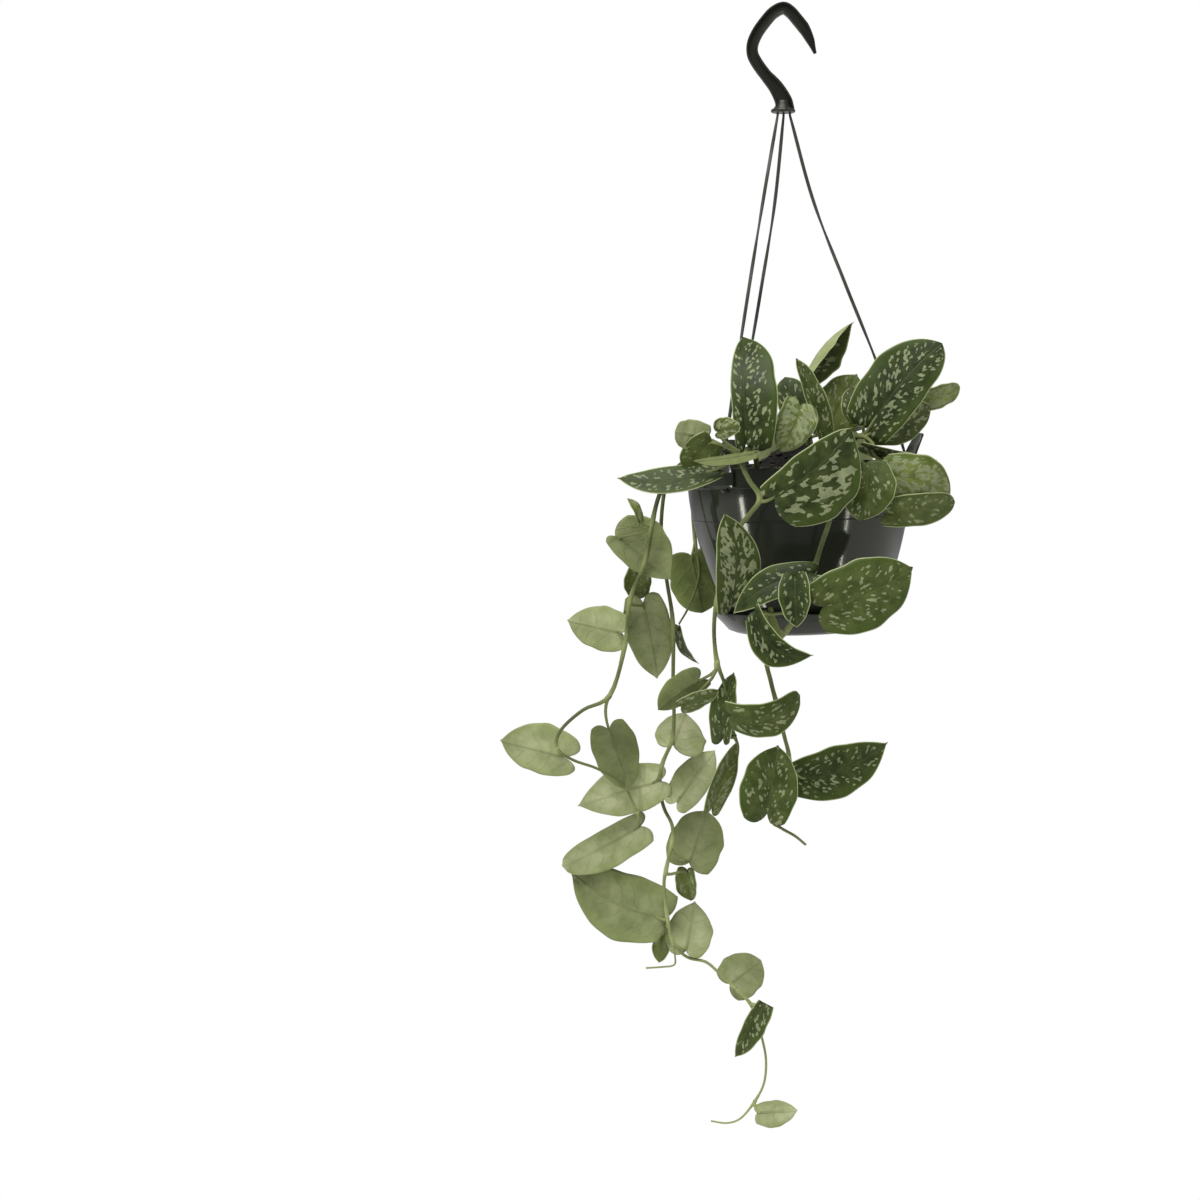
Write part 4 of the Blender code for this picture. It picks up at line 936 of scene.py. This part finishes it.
# Straps
# Three slim strips of satin plastic, slightly twisted. Each is pushed up into the hook's flange, and a
# moulded barb holds it under its ear.
STRAP_WIDTH = 2.2
STRAP_THICK = 1.5
STRAP_SIDES = 12
STRAP_NECK = 1.5
STRAP_MOUTH = 1.5
STRAP_TAIL = 1.2
STRAP_BOWS = (1.5, -1.1, 0.0)
STRAP_SWINGS = (0.0, -3.0, -3.2)
SOCKET_ANGLES = tuple(radians(a) for a in (-52.0, 83.0, 176.0))
STRAP_TURNS = 1.5
STRAP_STATIONS = 16
FLANGE_X = 0.4
FLANGE_TOP = -59.6
FLANGE_HEIGHT = 2.8
SOCKET_DEPTH = 1.8
SOCKET_CIRCLE = 4.4
GAP = 0.3


def pot_point(radius, angle, height):
    """A place on the leaning pot, from its own axis and the top of its rim."""
    spot = Vector((radius * sin(angle), -radius * cos(angle), height)) * MM
    return POT_CENTRE + Matrix.Rotation(POT_LEAN, 3, "Y") @ spot


strap_finish = Finish("strap_plastic_finish", Specular_IOR_Level=0.45)
spot = strap_finish.where()
fade = strap_finish.grain(spot, 30.0, 4.0, 0.6)
strap_finish.feed(Base_Color=strap_finish.blend(fade, paint(44, 47, 42), paint(82, 86, 74)),
                  Roughness=fade * 0.2 + 0.34)
strap_finish.relief(strap_finish.grain(spot, 800.0, 2.0), 0.0002, 0.6)
for number, (angle, socket) in enumerate(zip(EAR_ANGLES, SOCKET_ANGLES)):
    roof = FLANGE_TOP - FLANGE_HEIGHT + SOCKET_DEPTH - GAP
    top = Vector((FLANGE_X + SOCKET_CIRCLE * sin(socket), -SOCKET_CIRCLE * cos(socket), roof)) * MM
    neck = top - Vector((0.0, 0.0, SOCKET_DEPTH + STRAP_NECK)) * MM
    mouth = pot_point(STRAP_CIRCLE, angle, STRAP_MOUTH)
    below = pot_point(STRAP_CIRCLE, angle, -RIM_BAND - STRAP_TAIL)
    outward = Vector((sin(angle), -cos(angle), 0.0)) * MM
    knots = []
    for share in (0.0, 0.25, 0.5, 0.75, 1.0):
        off = STRAP_BOWS[number] * 4 * share * (1 - share) + STRAP_SWINGS[number] * sin(2 * pi * share)
        knots.append(neck.lerp(mouth, share) + outward * off)
    route = [top] + smooth_route(knots, STRAP_STATIONS) + [below]
    ahead = directions(route)
    shape = bmesh.new()
    loops = []
    for k, (point, direction) in enumerate(zip(route, ahead)):
        turn = 2 * pi * STRAP_TURNS * k / (len(route) - 1)
        flat = direction.cross(Vector((cos(turn), sin(turn), 0.0))).normalized()
        other = direction.cross(flat)
        outline = []
        for corner in range(STRAP_SIDES):
            around = 2 * pi * (corner + 0.5) / STRAP_SIDES
            a, b = cos(around), sin(around)
            squarer = (abs(a) ** 4 + abs(b) ** 4) ** 0.25
            outline.append(point + flat * (a / squarer * STRAP_WIDTH / 2 * MM)
                           + other * (b / squarer * STRAP_THICK / 2 * MM))
        loops.append([shape.verts.new(v) for v in outline])
    skin(shape, loops)
    bmesh.ops.recalc_face_normals(shape, faces=shape.faces)
    strap = cast(f"strap_{number + 1}_finished", shape)
    smooth(strap, 50.0)
    strap.data.materials.append(strap_finish.material)
    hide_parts(f"strap_{number + 1}")
    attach(strap, "root")
    low = -RIM_BAND - GAP - 2.4
    barb = throw(f"barb_{number + 1}", [
        (0.3, low), (0.7, low), (1.1, low + 0.6), (1.7, low + 1.6), (1.7, low + 2.4), (0.3, low + 2.4),
    ], 20)
    barb.data.transform(Matrix.Translation((0, -STRAP_CIRCLE * MM, 0)))
    settle(barb, angle)
    smooth(barb)
    barb.data.materials.append(strap_finish.material)
    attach(barb, "root")


# Hook
# A hook of charcoal plastic with a bar of I section, moulded in one with a round flange. The three straps
# push up into the flange from below.
HOOK_DEPTH = 6.0
HOOK_WIDTH = 7.4
HOOK_WEB = 2.2
HOOK_FILLET = 1.4
HOOK_FOOT_SPREAD = 1.7
HOOK_FOOT_STEPS = 15
HOOK_TIP = 0.25
HOOK_TIP_GROWTH = 0.047
CHANNEL_SIDES = (1, 2, 3, 7, 8, 9)
FLANGE_RADIUS = 7.8
HOOK_LINE = (
    (1.4, -60.4), (0.4, -54.5), (-4.4, -46.0), (-10.8, -38.5), (-16.2, -31.2), (-19.3, -25.0),
    (-19.2, -18.6), (-16.2, -11.6), (-11.4, -4.9), (-6.2, 0.8), (0.0, 3.7), (4.6, 1.3), (9.2, -3.9),
    (13.8, -9.8), (17.4, -16.6), (19.0, -20.6), (20.7, -25.2),
)

hook_plastic = charcoal("hook_plastic", paint(44, 47, 42), 0.24)
# A darker copy of the hook's plastic: painted shade for the I section's channel and for the flange's neck.
painted_shade_plastic = charcoal("hook_painted_shade", paint(20, 22, 18), 0.4)
line = smooth_route([Vector((x, 0.0, z)) * MM for x, z in HOOK_LINE], ROUTE_STEPS)
shape = bmesh.new()
loops = []
for k, (point, direction) in enumerate(zip(line, directions(line))):
    side = Vector((0.0, 1.0, 0.0)).cross(direction)
    taper = min(1.0, HOOK_TIP + HOOK_TIP_GROWTH * (len(line) - 1 - k))
    spread = 1.0 + (HOOK_FOOT_SPREAD - 1.0) * max(0.0, 1.0 - k / HOOK_FOOT_STEPS)
    half, deep, web = HOOK_WIDTH / 2 * taper * spread, HOOK_DEPTH / 2 * taper, HOOK_WEB / 2 * taper
    lip, wall_foot = half - web, half - web * HOOK_FILLET
    outline = (
        (-half, -deep), (-lip, -deep), (-wall_foot, -web), (wall_foot, -web), (lip, -deep), (half, -deep),
        (half, deep), (lip, deep), (wall_foot, web), (-wall_foot, web), (-lip, deep), (-half, deep),
    )
    loops.append([shape.verts.new(point + side * a * MM + Vector((0.0, b * MM, 0.0))) for a, b in outline])
# The channel's faces take the darker plastic of painted shade.
for k, face in enumerate(skin(shape, loops)[0]):
    face.material_index = 1 if k % len(outline) in CHANNEL_SIDES else 0
bmesh.ops.recalc_face_normals(shape, faces=shape.faces)
hook = cast("hook_bar", shape)
round_edges(hook, 0.35, 3, 35.0)
smooth(hook, 40.0)
foot = FLANGE_TOP - FLANGE_HEIGHT
flange = throw("hook_flange", [
    (0.6, foot), (FLANGE_RADIUS - 0.9, foot), (FLANGE_RADIUS - 0.2, foot + 0.3), (FLANGE_RADIUS, foot + 0.9),
    (FLANGE_RADIUS, FLANGE_TOP - 1.2), (FLANGE_RADIUS - 0.5, FLANGE_TOP - 0.5),
    (FLANGE_RADIUS - 1.7, FLANGE_TOP - 0.1), (6.0, FLANGE_TOP + 0.3), (5.2, FLANGE_TOP + 1.2),
    (4.6, FLANGE_TOP + 3.0), (4.1, FLANGE_TOP + 4.8), (3.6, FLANGE_TOP + 5.2), (0.6, FLANGE_TOP + 5.2),
], 64)
flange.data.transform(Matrix.Translation((FLANGE_X * MM, 0, 0)))
smooth(flange, 40.0)
for piece in (hook, flange):
    piece.data.materials.append(hook_plastic)
    piece.data.materials.append(painted_shade_plastic)
    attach(piece, "root")
# The flange's neck takes the painted-shade plastic as well.
for face in flange.data.polygons:
    if face.center.z > (FLANGE_TOP + 0.3) * MM:
        face.material_index = 1
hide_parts("hook")


# Studio
# White all round, a pale floor well below, and soft lights: a tall one low at each side and one above.
# In reflections the side by the camera is dark, as the open end of a photographer's tent is, and so is what
# lies above the horizon.
OPEN_WAY = (-0.087, -0.996, 0.0)

bpy.ops.mesh.primitive_circle_add(vertices=96, radius=1.4, fill_type="NGON", location=(0.1, 0.0, -1.9))
floor = bpy.context.object
floor.name = "floor"
paper = Finish("pale_floor", Roughness=0.9)
cloud = paper.grain(paper.where(), 3.0)
paper.feed(Base_Color=paper.blend(cloud, paint(236, 236, 234), paint(242, 242, 240)))
floor.data.materials.append(paper.material)


def lamp(name, spot, target, wide, tall, watts):
    """An oblong soft light at a spot, turned to its target."""
    data = bpy.data.lights.new(name, "AREA")
    data.shape = "RECTANGLE"
    data.size, data.size_y, data.energy = wide, tall, watts
    light = bpy.data.objects.new(name, data)
    light.location = spot
    light.rotation_euler = (Vector(target) - Vector(spot)).to_track_quat("-Z", "Y").to_euler()
    bpy.context.scene.collection.objects.link(light)


lamp("left_softbox", (-1.59, -0.85, -1.45), (0, 0, -1.05), 0.15, 1.56, 11)
lamp("right_strip", (1.42, -1.11, -1.45), (0, 0, -1.05), 0.035, 1.56, 4.5)
lamp("top_softbox", (-0.3, -0.7, 1.1), (0, 0, -0.4), 1.2, 1.0, 24)
world = bpy.data.worlds.new("studio")
world.use_nodes = True
bpy.context.scene.world = world
sky = world.node_tree.nodes["Background"]


def world_node(kind, settings, inputs, output=0):
    """Adds a node to the world and feeds its sockets, as Finish.node does for a material."""
    made = world.node_tree.nodes.new(kind)
    for label, value in settings.items():
        setattr(made, label, value)
    for label, value in inputs.items():
        if isinstance(value, bpy.types.NodeSocket):
            world.node_tree.links.new(value, made.inputs[label])
        else:
            made.inputs[label].default_value = value
    return made.outputs[output]


ray = world_node("ShaderNodeLightPath", {}, {}, "Is Camera Ray")
gloss = world_node("ShaderNodeLightPath", {}, {}, "Is Glossy Ray")
heading = world_node("ShaderNodeTexCoord", {}, {}, "Generated")
rise = world_node("ShaderNodeSeparateXYZ", {}, {0: heading}, 2)
level = world_node("ShaderNodeVectorMath", {"operation": "MULTIPLY"}, {0: heading, 1: (1.0, 1.0, 0.0)})
level = world_node("ShaderNodeVectorMath", {"operation": "NORMALIZE"}, {0: level})
front = world_node("ShaderNodeVectorMath", {"operation": "DOT_PRODUCT"}, {0: level, 1: OPEN_WAY}, 1)
open_end = world_node("ShaderNodeMapRange", {"interpolation_type": "SMOOTHSTEP"}, {
    "Value": front, "From Min": 0.59, "From Max": 0.5, "To Min": 0.21, "To Max": 1.0})
white = world_node("ShaderNodeMapRange", {"interpolation_type": "SMOOTHSTEP"}, {
    "Value": rise, "From Min": -0.25, "From Max": -0.1, "To Min": 0.75, "To Max": 0.28})
white = world_node("ShaderNodeMath", {"operation": "MULTIPLY"}, {0: white, 1: open_end})
mirrored = world_node("ShaderNodeMix", {}, {0: gloss, 2: 0.5, 3: white})
shown = world_node("ShaderNodeMix", {}, {0: ray, 2: mirrored, 3: 1.0})
sky.inputs["Color"].default_value = (1.0, 1.0, 1.0, 1.0)
world.node_tree.links.new(shown, sky.inputs["Strength"])

camera = bpy.data.objects.new("camera", bpy.data.cameras.new("camera"))
camera.location = eye()
camera.rotation_euler = (pi / 2 - VIEW_DOWN, 0.0, VIEW_LEFT)
camera.data.sensor_width = 36.0
camera.data.lens = VIEW_STEPS / VIEW_COLUMNS * camera.data.sensor_width
bpy.context.scene.collection.objects.link(camera)
bpy.context.scene.camera = camera
bpy.context.scene.view_settings.view_transform = "Standard"
